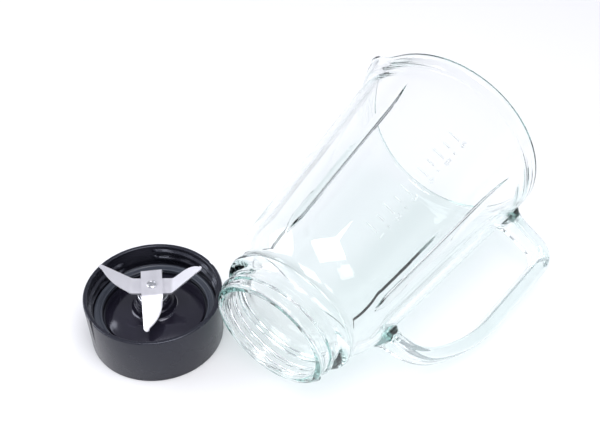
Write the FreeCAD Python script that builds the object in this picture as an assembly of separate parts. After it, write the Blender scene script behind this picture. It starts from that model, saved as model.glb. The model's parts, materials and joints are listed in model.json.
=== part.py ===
import FreeCAD, Part
import math
import os

# Glass blender jug lying on its side next to its screw-on blade base.
# Millimetres, +Z up. The origin is the centre of the base's foot, on the surface that both stand on.
# The jug lies along +Y on its tapered wall, its neck towards the base, and leans on its handle.

# Base collar
COLLAR_R = 44.0            # outside radius at the top rim
COLLAR_HEIGHT = 36.4
COLLAR_TAPER = 1.4         # how much the outside radius shrinks down to the foot
COLLAR_WALL = 2.8
RIM_ROUND = 0.8
SKIRT_DEPTH = 15.0         # foot to the underside of the web
SKIRT_LAND = 5.0           # height of the close-fitting land at the skirt's foot
SKIRT_RELIEF = 0.4         # how much wider the skirt is above its land
WEB_THICKNESS = 2.5
LEDGE_RISE = 2.5           # web floor to the ledge that carries the jug's seal
WEB_BORE_R = 20.0
WEB_RIB_COUNT = 8
WEB_RIB_WIDTH = 1.6
WEB_RIB_DEPTH = 4.0
GRIP_GROOVE_WIDTH = 2.0
GRIP_GROOVE_DEPTH = 0.9
GRIP_GROOVE_FOOT = 8.0     # the grip grooves stop this far above the foot
GRIP_GROOVE_ANGLE = 253.0

# Screw thread between the collar and the jug's neck
THREAD_PITCH = 5.5
THREAD_DEPTH = 1.8
THREAD_ROOT_WIDTH = 2.8
THREAD_CREST_WIDTH = 1.2
THREAD_GAP = 0.6           # radial clearance from a ridge's crest to the other wall
COLLAR_THREAD_TURNS = 2.0
COLLAR_THREAD_START = 134.0
COLLAR_THREAD_LIFT = 1.6   # ledge to the middle of the first ridge
COLLAR_THREAD_BREAK = 26.0 # angle of each plain break in the collar's thread, from its start on
NECK_THREAD_TURNS = 1.6
NECK_THREAD_LIFT = 4.2     # neck rim to the middle of the first ridge

# Seals and bearing carrier
SEAL_THICKNESS = 2.2
SEAL_SEAT = 0.2            # play between the seal and the ledge's inner edge
CARRIER_GROOVE = 1.5       # open groove round the carrier's disc
CARRIER_EDGE = 2.4         # thickness of the disc's rim
DOME_RISE = 3.6            # disc's rim to the foot of the boss
DOME_CROWN = 0.65          # how far the dome bulges above a straight slope, half way up it
BOSS_R = 12.8
BOSS_TOP_R = 11.6
BOSS_HEIGHT = 15.0         # web floor to the boss's top
BOSS_STEP = 3.5            # height of the smaller top step
BOSS_FLARE = 3.2
BOSS_BELOW = 3.5           # how far the boss hangs below the web floor
RECESS_DEPTH = 1.7
RECESS_LAND = 0.5          # play between the recess and the web's bore
O_RING_WIDTH = 2.0
O_RING_HEIGHT = 1.7
O_RING_INSET = 1.2         # disc's edge to the O-ring's groove
SCREW_COUNT = 4
SCREW_R = 1.5
SCREW_HEAD_R = 2.8
SCREW_HEAD_HEIGHT = 2.0
SCREW_BITE = 2.6           # length of screw held by the carrier
SCREW_CLEARANCE = 0.2
SCREW_SLOT_WIDTH = 0.75
SCREW_SLOT_DEPTH = 1.0

# Bearing, seal and shaft
SHAFT_R = 4.0
RUNNING_FIT = 0.04         # radial clearance in the bushes
LIP_FIT = 0.05             # radial clearance drawn under the lip seal
BUSH_WALL = 2.8
TUBE_WALL = 2.2
TUBE_PROUD = 2.1           # how far the tube stands above the boss
LOWER_BUSH_LENGTH = 6.0
UPPER_BUSH_LENGTH = 7.0
LIP_SEAL_HEIGHT = 4.0
LIP_SEAL_SKIN = 0.9        # thickness of the seal's inner and outer skirts
LIP_SEAL_CUP = 2.0         # depth of the cup between them
CAP_WALL = 0.8
CAP_HOLE_GAP = 1.0
WASHER_THICKNESS = 0.8
WASHER_R = 8.5
WASHER_GAP = 0.4           # axial play at each end of the bearing
SPACER_R = 6.5
SPACER_HEIGHT = 3.8
CIRCLIP_R = 6.4
CIRCLIP_THICKNESS = 0.8
CIRCLIP_DEPTH = 0.6        # depth of its groove in the shaft
CIRCLIP_OPENING = 50.0
SPIGOT_R = 2.6
HEAD_R = 3.4
HEAD_HEIGHT = 1.0
HEAD_BEVEL = 0.5           # how far the head's edge leans in
HEAD_BEVEL_HEIGHT = 0.6
HEAD_TOP_R = 1.5

# Blades
BLADE_THICKNESS = 1.2
BLADE_NECK_GAP = 1.4       # blade tips to the jug's neck bore
BLADE_ANGLE = 36.9         # lower blade's direction at rest
CROSS_ANGLE = 97.0         # upper blade's direction from the lower blade's
LOWER_WIDTH = 13.0
LOWER_FLAT = 13.0          # half length of the flat middle
LOWER_RISE = 36.0          # angle of the wings
LOWER_BACK_TIP = -4.5      # middle of a tip, from the blade's middle line
LOWER_FRONT_TIP = 2.2
UPPER_WIDTH = 13.3
UPPER_FRONT_FLAT = 9.7
UPPER_BACK_FLAT = 13.3
UPPER_FRONT_DROP = 25.0
UPPER_BACK_DROP = 50.0
UPPER_FRONT_SHORT = 2.0    # how much shorter than the lower blade's its wings are
UPPER_BACK_SHORT = 6.2
TIP_WIDTH = 3.6
EDGE_BULGE = 2.4           # how far a cutting edge bows out

# Drive coupling
COUPLING_R = 14.5
COUPLING_HUB_R = 8.0
COUPLING_PLATE = 2.9
COUPLING_HEIGHT = 6.4
LUG_COUNT = 6
LUG_WIDTH = 4.2
INSERT_WALL = 2.5
SHAFT_END_R = 3.0
SHAFT_END_SHORT = 0.6      # the shaft ends this far inside its insert

# Jug
JUG_LENGTH = 204.7
NECK_WALL = 5.2
GLASS_WALL = 4.6
LIP_WALL = 6.6
LIP_DEPTH = 9.0            # height of the thick band at the mouth
NECK_LENGTH = 17.0         # rim to the stop flange
NECK_EDGE = 1.8            # rounding of the neck's rim
FLANGE_STAND = 6.4         # stop flange beyond the neck
FLANGE_HEIGHT = 5.0
WAIST_STAND = 4.6          # waist above the flange, beyond the neck
SHOULDER_STAND = 14.2      # shoulder beyond the neck
SHOULDER_START = 27.0
SHOULDER_L = 50.0          # neck rim to the shoulder's widest
SHOULDER_LEAVE = 53.0      # outer shoulder's start, in degrees from square with the axis
SHOULDER_BULGE = 1.0       # how far the middle of either shoulder curve stands out
SHOULDER_EASE = 2.0        # and how far it lies back towards the neck
BODY_FLARE = 15.2          # how much wider the lip is than the shoulder
INNER_SHOULDER_L = 22.0    # neck rim to where the bore opens out
INNER_LEAVE = 78.5         # inner shoulder's start, in degrees from square with the axis
RIB_COUNT = 4
RIB_R = 3.2
RIB_STAND = 1.5            # how far a rib stands into the jug
RIB_START = 46.0
RIB_TOP_DROP = 28.0        # lip to the ribs' upper end
SPOUT_R = 16.0
SPOUT_FOOT_R = 12.8
SPOUT_FOOT_STAND = 0.5
SPOUT_STAND = 6.5          # spout beyond the lip
SPOUT_DROP = 16.0          # lip to the spout's foot
SPOUT_RISE = 9.0           # spout's tip above the lip
SPOUT_WALL = 4.0
TICK_COUNT = 6
TICK_LENGTH = 9.0
TICK_WIDTH = 1.0
TICK_PROUD = 0.4
TICK_START = 70.0
TICK_STEP = 17.0

# Handle
STRAP_WIDTH = 17.0
STRAP_THICKNESS = 8.6
STRAP_ROUND = 3.2
HANDLE_FOOT = 54.0         # neck rim to the lower root's middle
HANDLE_HEAD_DROP = 17.0    # lip to the upper root's middle
HANDLE_RUN = 15.0          # straight run out of the lower root
HANDLE_LEAVE = 10.0        # its angle to square with the jug's axis
HANDLE_LOW_BEND_R = 30.0
HANDLE_LOW_TURN = 45.0
HANDLE_SIDE_BEND_R = 85.0
HANDLE_SIDE_TURN = 32.0
HANDLE_TOP_BEND_R = 12.5
HANDLE_TOP_TURN = 89.0
HANDLE_SINK = 2.6          # how far the roots run into the wall

# Where the jug lies
JUG_GAP = 5.2              # free space between the collar and the neck, seen from above
NECK_Y = 5.7               # the neck rim's centre along Y
HANDLE_ROLL_MOST = 60.0    # the resting angle is looked for up to this one
ROLL_STEP = 1e-4

# Levels, from the foot up
WEB_FLOOR = SKIRT_DEPTH + WEB_THICKNESS
LEDGE_Z = WEB_FLOOR + LEDGE_RISE
BOSS_BOTTOM = WEB_FLOOR - BOSS_BELOW
BOSS_TOP = WEB_FLOOR + BOSS_HEIGHT
TUBE_TOP = BOSS_TOP + TUBE_PROUD
CAP_TOP = TUBE_TOP + CAP_WALL
UPPER_WASHER_Z = CAP_TOP + WASHER_GAP
SPACER_Z = UPPER_WASHER_Z + WASHER_THICKNESS
LOWER_BLADE_Z = SPACER_Z + SPACER_HEIGHT
UPPER_BLADE_Z = LOWER_BLADE_Z + BLADE_THICKNESS
HEAD_Z = UPPER_BLADE_Z + BLADE_THICKNESS
LOWER_WASHER_Z = BOSS_BOTTOM - WASHER_GAP - WASHER_THICKNESS
CIRCLIP_Z = LOWER_WASHER_Z - CIRCLIP_THICKNESS
COUPLING_TOP = CIRCLIP_Z - WASHER_GAP
COUPLING_BOTTOM = COUPLING_TOP - COUPLING_HEIGHT

# Radii that follow from the collar inwards
FOOT_R = COLLAR_R - COLLAR_TAPER
SKIRT_R = FOOT_R - COLLAR_WALL
COLLAR_BORE_R = COLLAR_R - COLLAR_WALL
NECK_R = COLLAR_BORE_R - THREAD_DEPTH - THREAD_GAP
NECK_RIDGE = COLLAR_BORE_R - THREAD_GAP - NECK_R
NECK_BORE_R = NECK_R - NECK_WALL
LEDGE_R = NECK_BORE_R - SEAL_SEAT
CARRIER_R = LEDGE_R - CARRIER_GROOVE
TUBE_R = SHAFT_R + RUNNING_FIT + BUSH_WALL + TUBE_WALL
BUSH_R = TUBE_R - TUBE_WALL
O_RING_R = CARRIER_R - O_RING_INSET
O_RING_BORE_R = O_RING_R - O_RING_WIDTH
SCREW_CIRCLE_R = (WEB_BORE_R + O_RING_BORE_R) / 2
BLADE_REACH = NECK_BORE_R - BLADE_NECK_GAP

# Jug radii and how it lies
FLANGE_R = NECK_R + FLANGE_STAND
WAIST_R = NECK_R + WAIST_STAND
SHOULDER_R = NECK_R + SHOULDER_STAND
LIP_R = SHOULDER_R + BODY_FLARE
TILT = math.atan2(LIP_R - SHOULDER_R, JUG_LENGTH - SHOULDER_L)
NECK_X = COLLAR_R + NECK_R + JUG_GAP
NECK_Z = SHOULDER_R * math.cos(TILT) - SHOULDER_L * math.sin(TILT)

OVERCUT = 1.0              # how far a cutting tool runs past what it cuts
HANDLE_MESH = 0.1          # deviation of the points that stand for the handle's surface
OVERLAP = 0.4              # how far ridges, ribs and lugs run into the body that they stand on
UP = FreeCAD.Vector(0, 0, 1)
ORIGIN = FreeCAD.Vector(0, 0, 0)


def vec(x, y, z):
    return FreeCAD.Vector(x, y, z)


def turned(shape, angle):
    """Return a copy of the shape turned about Z by an angle in degrees."""
    return shape.rotated(ORIGIN, UP, angle)


def disc(radius, z, height):
    return Part.makeCylinder(radius, height, vec(0, 0, z))


def ring(inner, outer, z, height):
    return disc(outer, z, height).cut(disc(inner, z - OVERCUT, height + 2 * OVERCUT))


def post(radius, x, z, height):
    """Upright cylinder that stands at x on the X axis."""
    return Part.makeCylinder(radius, height, vec(x, 0, z))


def around(shape, count, offset=0.0):
    """Copies of the shape, evenly spaced about Z, the first turned by an offset in degrees."""
    return [turned(shape, offset + 360 / count * index) for index in range(count)]


def revolved(edges):
    """Turn a closed outline in the XZ plane into a solid about Z."""
    face = Part.Face(Part.Wire(Part.__sortEdges__(edges)))
    return face.revolve(ORIGIN, UP, 360)


def outline(points):
    """Straight edges through (radius, z) points, closed back to the first."""
    corners = [vec(r, 0, z) for r, z in points]
    closed = corners + corners[:1]
    return [Part.makeLine(a, b) for a, b in zip(closed[:-1], closed[1:])]


def chain(points):
    """Straight edges through (radius, z) points, left open."""
    corners = [vec(r, 0, z) for r, z in points]
    return [Part.makeLine(a, b) for a, b in zip(corners[:-1], corners[1:])]


def arc(start, middle, end):
    """Arc through three (radius, z) points."""
    first, second, third = [vec(r, 0, z) for r, z in (start, middle, end)]
    return Part.Arc(first, second, third).toShape()


def curve(points, start_slope, end_slope):
    """Smooth curve through (radius, z) points with given end directions."""
    spline = Part.BSplineCurve()
    first = vec(start_slope[0], 0, start_slope[1])
    last = vec(end_slope[0], 0, end_slope[1])
    spline.interpolate(
        Points=[vec(r, 0, z) for r, z in points],
        InitialTangent=first,
        FinalTangent=last,
    )
    return spline.toShape()


def thread_ridge(wall_r, crest_r, z, turns, start_angle):
    """One helical ridge that stands from a cylindrical wall to a crest, inwards or outwards."""
    side = math.copysign(1, crest_r - wall_r)
    root_r = wall_r - side * OVERLAP
    half_root = THREAD_ROOT_WIDTH / 2
    half_crest = THREAD_CREST_WIDTH / 2
    helix = Part.makeHelix(THREAD_PITCH, THREAD_PITCH * turns, wall_r)
    corners = [
        vec(root_r, 0, -half_root),
        vec(crest_r, 0, -half_crest),
        vec(crest_r, 0, half_crest),
        vec(root_r, 0, half_root),
    ]
    profile = Part.makePolygon(corners + corners[:1])
    ridge = Part.Wire(helix).makePipeShell([profile], True, True)
    ridge.translate(vec(0, 0, z))
    return turned(ridge, start_angle)


def wedge(angle, radius, z, height):
    """A pie slice of the given angle, centred on +X."""
    half = math.radians(angle / 2)
    far = radius / math.cos(half)
    corners = [
        vec(0, 0, z),
        vec(far * math.cos(half), -far * math.sin(half), z),
        vec(far * math.cos(half), far * math.sin(half), z),
    ]
    return Part.Face(Part.makePolygon(corners + corners[:1])).extrude(vec(0, 0, height))


def base_collar():
    """Moulded collar: threaded cup above, skirt below, and the web that carries the bearing."""
    body = revolved(outline([
        (FOOT_R, 0),
        (COLLAR_R, COLLAR_HEIGHT - RIM_ROUND),
        (COLLAR_R - RIM_ROUND, COLLAR_HEIGHT),
        (COLLAR_BORE_R + RIM_ROUND, COLLAR_HEIGHT),
        (COLLAR_BORE_R, COLLAR_HEIGHT - RIM_ROUND),
        (COLLAR_BORE_R, LEDGE_Z),
        (LEDGE_R, LEDGE_Z),
        (LEDGE_R, WEB_FLOOR),
        (WEB_BORE_R, WEB_FLOOR),
        (WEB_BORE_R, SKIRT_DEPTH),
        (SKIRT_R + SKIRT_RELIEF, SKIRT_DEPTH),
        (SKIRT_R + SKIRT_RELIEF, SKIRT_LAND),
        (SKIRT_R, SKIRT_LAND),
        (SKIRT_R, 0),
    ]))
    crest_r = COLLAR_BORE_R - THREAD_DEPTH
    ridge_z = LEDGE_Z + COLLAR_THREAD_LIFT
    ridge = thread_ridge(COLLAR_BORE_R, crest_r, ridge_z, COLLAR_THREAD_TURNS, COLLAR_THREAD_START)
    for side in (0, 180):
        gap = wedge(COLLAR_THREAD_BREAK, COLLAR_R, LEDGE_Z - OVERCUT, COLLAR_HEIGHT)
        ridge = ridge.cut(turned(gap, COLLAR_THREAD_START + side + COLLAR_THREAD_BREAK / 2))
    body = body.fuse(ridge.Solids)
    rib_length = SKIRT_R + SKIRT_RELIEF - WEB_BORE_R
    rib = Part.makeBox(
        rib_length,
        WEB_RIB_WIDTH,
        WEB_RIB_DEPTH + OVERLAP,
        vec(WEB_BORE_R + OVERLAP, -WEB_RIB_WIDTH / 2, SKIRT_DEPTH - WEB_RIB_DEPTH),
    )
    body = body.fuse(around(rib, WEB_RIB_COUNT, 180 / WEB_RIB_COUNT))
    lean = math.degrees(math.atan2(COLLAR_TAPER, COLLAR_HEIGHT - RIM_ROUND))
    slot = Part.makeBox(
        COLLAR_R,
        GRIP_GROOVE_WIDTH,
        COLLAR_HEIGHT,
        vec(-GRIP_GROOVE_DEPTH, -GRIP_GROOVE_WIDTH / 2, GRIP_GROOVE_FOOT),
    )
    slot.rotate(ORIGIN, vec(0, 1, 0), lean)
    slot.translate(vec(FOOT_R, 0, 0))
    body = body.cut(around(slot, 2, GRIP_GROOVE_ANGLE))
    body = body.cut(carrier_o_ring())
    hole_r = SCREW_R + SCREW_CLEARANCE
    hole = post(hole_r, SCREW_CIRCLE_R, SKIRT_DEPTH - OVERCUT, WEB_THICKNESS + 2 * OVERCUT)
    body = body.cut(around(hole, SCREW_COUNT))
    return body.removeSplitter()


def sealing_ring():
    """Flat rubber ring that the jug's rim is screwed down on."""
    return ring(NECK_BORE_R, NECK_R, LEDGE_Z, SEAL_THICKNESS)


def carrier_o_ring():
    """Ring that seals the carrier's disc to the collar's web."""
    return ring(O_RING_BORE_R, O_RING_R, WEB_FLOOR - O_RING_HEIGHT, O_RING_HEIGHT)


def bearing_carrier():
    """Domed disc with the tall boss that holds the bearing, screwed down on the web."""
    rim_z = WEB_FLOOR + CARRIER_EDGE
    dome_z = rim_z + DOME_RISE
    recess_r = WEB_BORE_R - RECESS_LAND
    boss_low_r = TUBE_R + CAP_WALL + TUBE_WALL
    flare_r = BOSS_R + BOSS_FLARE
    step_z = BOSS_TOP - BOSS_STEP
    dome_mid = ((CARRIER_R + flare_r) / 2, (rim_z + dome_z) / 2 + DOME_CROWN)
    flare_mid = BOSS_FLARE * (1 - math.sqrt(0.5))
    edges = [
        arc((CARRIER_R, rim_z), dome_mid, (flare_r, dome_z)),
        arc(
            (flare_r, dome_z),
            (BOSS_R + flare_mid, dome_z + flare_mid),
            (BOSS_R, dome_z + BOSS_FLARE),
        ),
    ]
    edges += chain([
        (BOSS_R, dome_z + BOSS_FLARE),
        (BOSS_R, step_z),
        (BOSS_TOP_R, step_z),
        (BOSS_TOP_R, BOSS_TOP),
        (TUBE_R, BOSS_TOP),
        (TUBE_R, BOSS_BOTTOM),
        (boss_low_r, BOSS_BOTTOM),
        (boss_low_r, WEB_FLOOR + RECESS_DEPTH),
        (recess_r, WEB_FLOOR + RECESS_DEPTH),
        (recess_r, WEB_FLOOR),
        (CARRIER_R, WEB_FLOOR),
        (CARRIER_R, rim_z),
    ])
    hole = post(SCREW_R, SCREW_CIRCLE_R, WEB_FLOOR, SCREW_BITE)
    return revolved(edges).cut(around(hole, SCREW_COUNT))


def carrier_screws():
    """Pan-head screws that come up through the web into the carrier."""
    head_z = SKIRT_DEPTH - SCREW_HEAD_HEIGHT
    shank = post(SCREW_R, SCREW_CIRCLE_R, SKIRT_DEPTH, WEB_THICKNESS + SCREW_BITE)
    head = post(SCREW_HEAD_R, SCREW_CIRCLE_R, head_z, SCREW_HEAD_HEIGHT)
    slot = Part.makeBox(
        2 * SCREW_HEAD_R + 2 * OVERCUT,
        SCREW_SLOT_WIDTH,
        SCREW_SLOT_DEPTH,
        vec(SCREW_CIRCLE_R - SCREW_HEAD_R - OVERCUT, -SCREW_SLOT_WIDTH / 2, head_z),
    )
    screw = head.fuse(shank).removeSplitter().cut(slot)
    return Part.makeCompound(around(screw, SCREW_COUNT))


def bearing_tube():
    """Brass tube pressed in the boss."""
    return ring(BUSH_R, TUBE_R, BOSS_BOTTOM, TUBE_TOP - BOSS_BOTTOM)


def lower_bush():
    return ring(SHAFT_R + RUNNING_FIT, BUSH_R, BOSS_BOTTOM, LOWER_BUSH_LENGTH)


def upper_bush():
    top = TUBE_TOP - LIP_SEAL_HEIGHT
    return ring(SHAFT_R + RUNNING_FIT, BUSH_R, top - UPPER_BUSH_LENGTH, UPPER_BUSH_LENGTH)


def shaft_lip_seal():
    """Rubber seal over the upper bush, with a cupped top."""
    bore = SHAFT_R + LIP_FIT
    body = ring(bore, BUSH_R, TUBE_TOP - LIP_SEAL_HEIGHT, LIP_SEAL_HEIGHT)
    cup = ring(bore + LIP_SEAL_SKIN, BUSH_R - LIP_SEAL_SKIN, TUBE_TOP - LIP_SEAL_CUP, LIP_SEAL_HEIGHT)
    return body.cut(cup)


def seal_cap():
    """Pressed steel cap over the top of the bearing tube."""
    return revolved(outline([
        (SHAFT_R + CAP_HOLE_GAP, TUBE_TOP),
        (SHAFT_R + CAP_HOLE_GAP, CAP_TOP),
        (TUBE_R + CAP_WALL, CAP_TOP),
        (TUBE_R + CAP_WALL, BOSS_TOP),
        (TUBE_R, BOSS_TOP),
        (TUBE_R, TUBE_TOP),
    ]))


def upper_thrust_washer():
    return ring(SHAFT_R, WASHER_R, UPPER_WASHER_Z, WASHER_THICKNESS)


def lower_thrust_washer():
    return ring(SHAFT_R, WASHER_R, LOWER_WASHER_Z, WASHER_THICKNESS)


def circlip():
    """Open spring ring that keeps the shaft in its bearing."""
    clip = ring(SHAFT_R - CIRCLIP_DEPTH, CIRCLIP_R, CIRCLIP_Z, CIRCLIP_THICKNESS)
    return clip.cut(wedge(CIRCLIP_OPENING, WASHER_R, CIRCLIP_Z - OVERCUT, CIRCLIP_THICKNESS + 2 * OVERCUT))


def blade_shaft():
    """Stepped shaft: coupling end, journal, and the spigot peened over the blades."""
    end_z = COUPLING_BOTTOM + SHAFT_END_SHORT
    return revolved(outline([
        (0, end_z),
        (SHAFT_END_R, end_z),
        (SHAFT_END_R, COUPLING_TOP),
        (SHAFT_R, COUPLING_TOP),
        (SHAFT_R, CIRCLIP_Z),
        (SHAFT_R - CIRCLIP_DEPTH, CIRCLIP_Z),
        (SHAFT_R - CIRCLIP_DEPTH, LOWER_WASHER_Z),
        (SHAFT_R, LOWER_WASHER_Z),
        (SHAFT_R, LOWER_BLADE_Z),
        (SPIGOT_R, LOWER_BLADE_Z),
        (SPIGOT_R, HEAD_Z),
        (HEAD_R, HEAD_Z),
        (HEAD_R - HEAD_BEVEL, HEAD_Z + HEAD_BEVEL_HEIGHT),
        (HEAD_TOP_R, HEAD_Z + HEAD_HEIGHT),
        (0, HEAD_Z + HEAD_HEIGHT),
    ]))


def blade_spacer():
    return ring(SHAFT_R, SPACER_R, SPACER_Z, SPACER_HEIGHT)


def wing_side(flat, reach, slope):
    """Side view of one wing towards +X: along its underside to the tip and back over its top."""
    lean = math.radians(slope)
    tip = (reach - flat) * math.tan(lean)
    miter = BLADE_THICKNESS * math.tan(lean / 2)
    upright = BLADE_THICKNESS / math.cos(lean)
    return [(flat, 0), (reach, tip), (reach, tip + upright), (flat - miter, BLADE_THICKNESS)]


def bent_strip(back, front, width):
    """A strip along X, flat in the middle, whose two wings slope up or down to their reach."""
    behind = [(-x, z) for x, z in reversed(wing_side(*back))]
    side = Part.Face(Part.Wire(outline(wing_side(*front) + behind)))
    strip = side.extrude(vec(0, width, 0))
    strip.translate(vec(0, -width / 2, 0))
    return strip


def wing_plan(flat, reach, width, tip_offset):
    """Plan of one wing towards +X: one cutting edge bows out, the other is straight."""
    half = width / 2
    top = vec(flat, half, 0)
    bottom = vec(flat, -half, 0)
    tip_top = vec(reach - TIP_WIDTH / 2, tip_offset + TIP_WIDTH / 2, 0)
    tip_end = vec(reach, tip_offset, 0)
    tip_bottom = vec(reach - TIP_WIDTH / 2, tip_offset - TIP_WIDTH / 2, 0)
    middle = vec((flat + reach) / 2, (top.y + tip_top.y) / 2 + EDGE_BULGE, 0)
    bowed = Part.Arc(top, middle, tip_top).toShape()
    tip = Part.Arc(tip_top, tip_end, tip_bottom).toShape()
    return [bowed, tip, Part.makeLine(tip_bottom, bottom)]


def blade(back, front, width, back_tip, front_tip, z, angle):
    """One stamped blade from each wing's flat, reach and slope, with the spigot's hole."""
    back_flat, back_reach, _ = back
    front_flat, front_reach, _ = front
    ahead = wing_plan(front_flat, front_reach, width, front_tip)
    behind = [turned(edge, 180) for edge in wing_plan(back_flat, back_reach, width, back_tip)]
    half = width / 2
    sides = [
        Part.makeLine(vec(-back_flat, half, 0), vec(front_flat, half, 0)),
        Part.makeLine(vec(-back_flat, -half, 0), vec(front_flat, -half, 0)),
    ]
    plan = Part.Face(Part.Wire(Part.__sortEdges__(ahead + behind + sides)))
    reach = 2 * BLADE_REACH
    cutter = plan.extrude(vec(0, 0, 2 * reach))
    cutter.translate(vec(0, 0, -reach))
    strip = bent_strip(back, front, width + 2 * EDGE_BULGE).common(cutter)
    strip = strip.cut(disc(SPIGOT_R, -OVERCUT, BLADE_THICKNESS + 2 * OVERCUT))
    strip.translate(vec(0, 0, z))
    return turned(strip, angle)


def lower_blade():
    """Blade whose wings slope up."""
    wing = (LOWER_FLAT, BLADE_REACH, LOWER_RISE)
    tips = (LOWER_BACK_TIP, LOWER_FRONT_TIP)
    return blade(wing, wing, LOWER_WIDTH, *tips, LOWER_BLADE_Z, BLADE_ANGLE)


def upper_blade():
    """Blade across the lower one, whose wings slope down, the back one more steeply."""
    back = (UPPER_BACK_FLAT, BLADE_REACH - UPPER_BACK_SHORT, -UPPER_BACK_DROP)
    front = (UPPER_FRONT_FLAT, BLADE_REACH - UPPER_FRONT_SHORT, -UPPER_FRONT_DROP)
    tip = (TIP_WIDTH - UPPER_WIDTH) / 2
    angle = BLADE_ANGLE + CROSS_ANGLE + 180
    return blade(back, front, UPPER_WIDTH, tip, tip, UPPER_BLADE_Z, angle)


def coupling_insert():
    """Metal insert moulded in the drive coupling, screwed on the shaft's end."""
    return ring(SHAFT_END_R, SHAFT_END_R + INSERT_WALL, COUPLING_BOTTOM, COUPLING_HEIGHT)


def drive_coupling():
    """Plastic coupling with lugs that the motor's coupling drives."""
    plate_z = COUPLING_TOP - COUPLING_PLATE
    hub = disc(COUPLING_HUB_R, COUPLING_BOTTOM, COUPLING_HEIGHT)
    body = disc(COUPLING_R, plate_z, COUPLING_PLATE).fuse(hub)
    lug = Part.makeBox(
        COUPLING_R,
        LUG_WIDTH,
        COUPLING_HEIGHT - OVERLAP,
        vec(0, -LUG_WIDTH / 2, COUPLING_BOTTOM),
    )
    lug = lug.common(disc(COUPLING_R, COUPLING_BOTTOM, COUPLING_HEIGHT))
    body = body.fuse(around(lug, LUG_COUNT))
    hole = disc(SHAFT_END_R + INSERT_WALL, COUPLING_BOTTOM - OVERCUT, COUPLING_HEIGHT + 2 * OVERCUT)
    return body.cut(hole).removeSplitter()


def wall_r(level):
    """Outside radius of the jug's body between shoulder and lip."""
    return SHOULDER_R + (level - SHOULDER_L) * (LIP_R - SHOULDER_R) / (JUG_LENGTH - SHOULDER_L)


def shoulder(neck_r, neck_l, leave, body_r):
    """Shoulder curve from a straight neck out to the widest point, where it runs on into the body."""
    lean = math.radians(leave)
    middle_r = (neck_r + body_r) / 2 + SHOULDER_BULGE
    middle_l = (neck_l + SHOULDER_L) / 2 - SHOULDER_EASE
    return curve(
        [(neck_r, neck_l), (middle_r, middle_l), (body_r, SHOULDER_L)],
        (math.cos(lean), math.sin(lean)),
        (math.sin(TILT), math.cos(TILT)),
    )


def jug_blank():
    """Solid jug without its hollow: neck, stop flange, shoulder and flared body."""
    flange_z = NECK_LENGTH + FLANGE_HEIGHT
    edges = chain([(0, 0), (NECK_R - NECK_EDGE, 0), (NECK_R, NECK_EDGE), (NECK_R, NECK_LENGTH)])
    edges.append(arc((NECK_R, NECK_LENGTH), (FLANGE_R, NECK_LENGTH + FLANGE_HEIGHT / 2), (WAIST_R, flange_z)))
    edges += chain([(WAIST_R, flange_z), (WAIST_R, SHOULDER_START)])
    edges.append(shoulder(WAIST_R, SHOULDER_START, SHOULDER_LEAVE, SHOULDER_R))
    edges += chain([
        (SHOULDER_R, SHOULDER_L),
        (LIP_R, JUG_LENGTH),
        (0, JUG_LENGTH),
        (0, 0),
    ])
    return revolved(edges)


def jug_hollow():
    """Neck bore, inner shoulder and body cavity, open at both ends."""
    inner_r = wall_r(SHOULDER_L) - GLASS_WALL
    lip_foot = JUG_LENGTH - LIP_DEPTH
    lip_bore = LIP_R - LIP_WALL
    edges = chain([(0, -OVERCUT), (NECK_BORE_R, -OVERCUT), (NECK_BORE_R, INNER_SHOULDER_L)])
    edges.append(shoulder(NECK_BORE_R, INNER_SHOULDER_L, INNER_LEAVE, inner_r))
    edges += chain([
        (inner_r, SHOULDER_L),
        (lip_bore, lip_foot),
        (lip_bore, JUG_LENGTH + SPOUT_RISE + OVERCUT),
        (0, JUG_LENGTH + SPOUT_RISE + OVERCUT),
        (0, -OVERCUT),
    ])
    return revolved(edges)


def slanted_bar(radius, offset, start, end):
    """Round-ended bar that runs along the cone at an offset from its outside."""
    low = vec(wall_r(start) + offset, 0, start)
    high = vec(wall_r(end) + offset, 0, end)
    span = high.sub(low)
    bar = Part.makeCylinder(radius, span.Length, low, span)
    bar = bar.fuse([Part.makeSphere(radius, low), Part.makeSphere(radius, high)])
    return bar.removeSplitter()


def jug_ribs():
    """Ribs that stand into the jug between the handle and the spout."""
    end = JUG_LENGTH - RIB_TOP_DROP
    offset = RIB_R - RIB_STAND - GLASS_WALL
    return around(slanted_bar(RIB_R, offset, RIB_START, end), RIB_COUNT, 180 / RIB_COUNT)


def spout_body(shrink, extra):
    """Half-round beak that widens from its foot up to the lip, drawn towards -X."""
    foot_z = JUG_LENGTH - SPOUT_DROP
    tip_z = JUG_LENGTH + SPOUT_RISE + extra
    foot_x = SPOUT_FOOT_R - wall_r(foot_z) - SPOUT_FOOT_STAND
    tip_x = SPOUT_R - LIP_R - SPOUT_STAND
    foot = Part.Wire(Part.makeCircle(SPOUT_FOOT_R - shrink, vec(foot_x, 0, foot_z)))
    tip = Part.Wire(Part.makeCircle(SPOUT_R - shrink, vec(tip_x, 0, tip_z)))
    return Part.makeLoft([foot, tip], True)


def spout_trim():
    """Everything above the spout's slanted top."""
    start = LIP_R - SPOUT_R / 2
    run_out = LIP_R + SPOUT_STAND - start
    slope = math.degrees(math.atan2(SPOUT_RISE, run_out))
    side = 4 * LIP_R
    box = Part.makeBox(side, side, side, vec(-side / 2, -side / 2, 0))
    box.rotate(ORIGIN, vec(0, 1, 0), slope)
    box.translate(vec(-start, 0, JUG_LENGTH))
    return box


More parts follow.
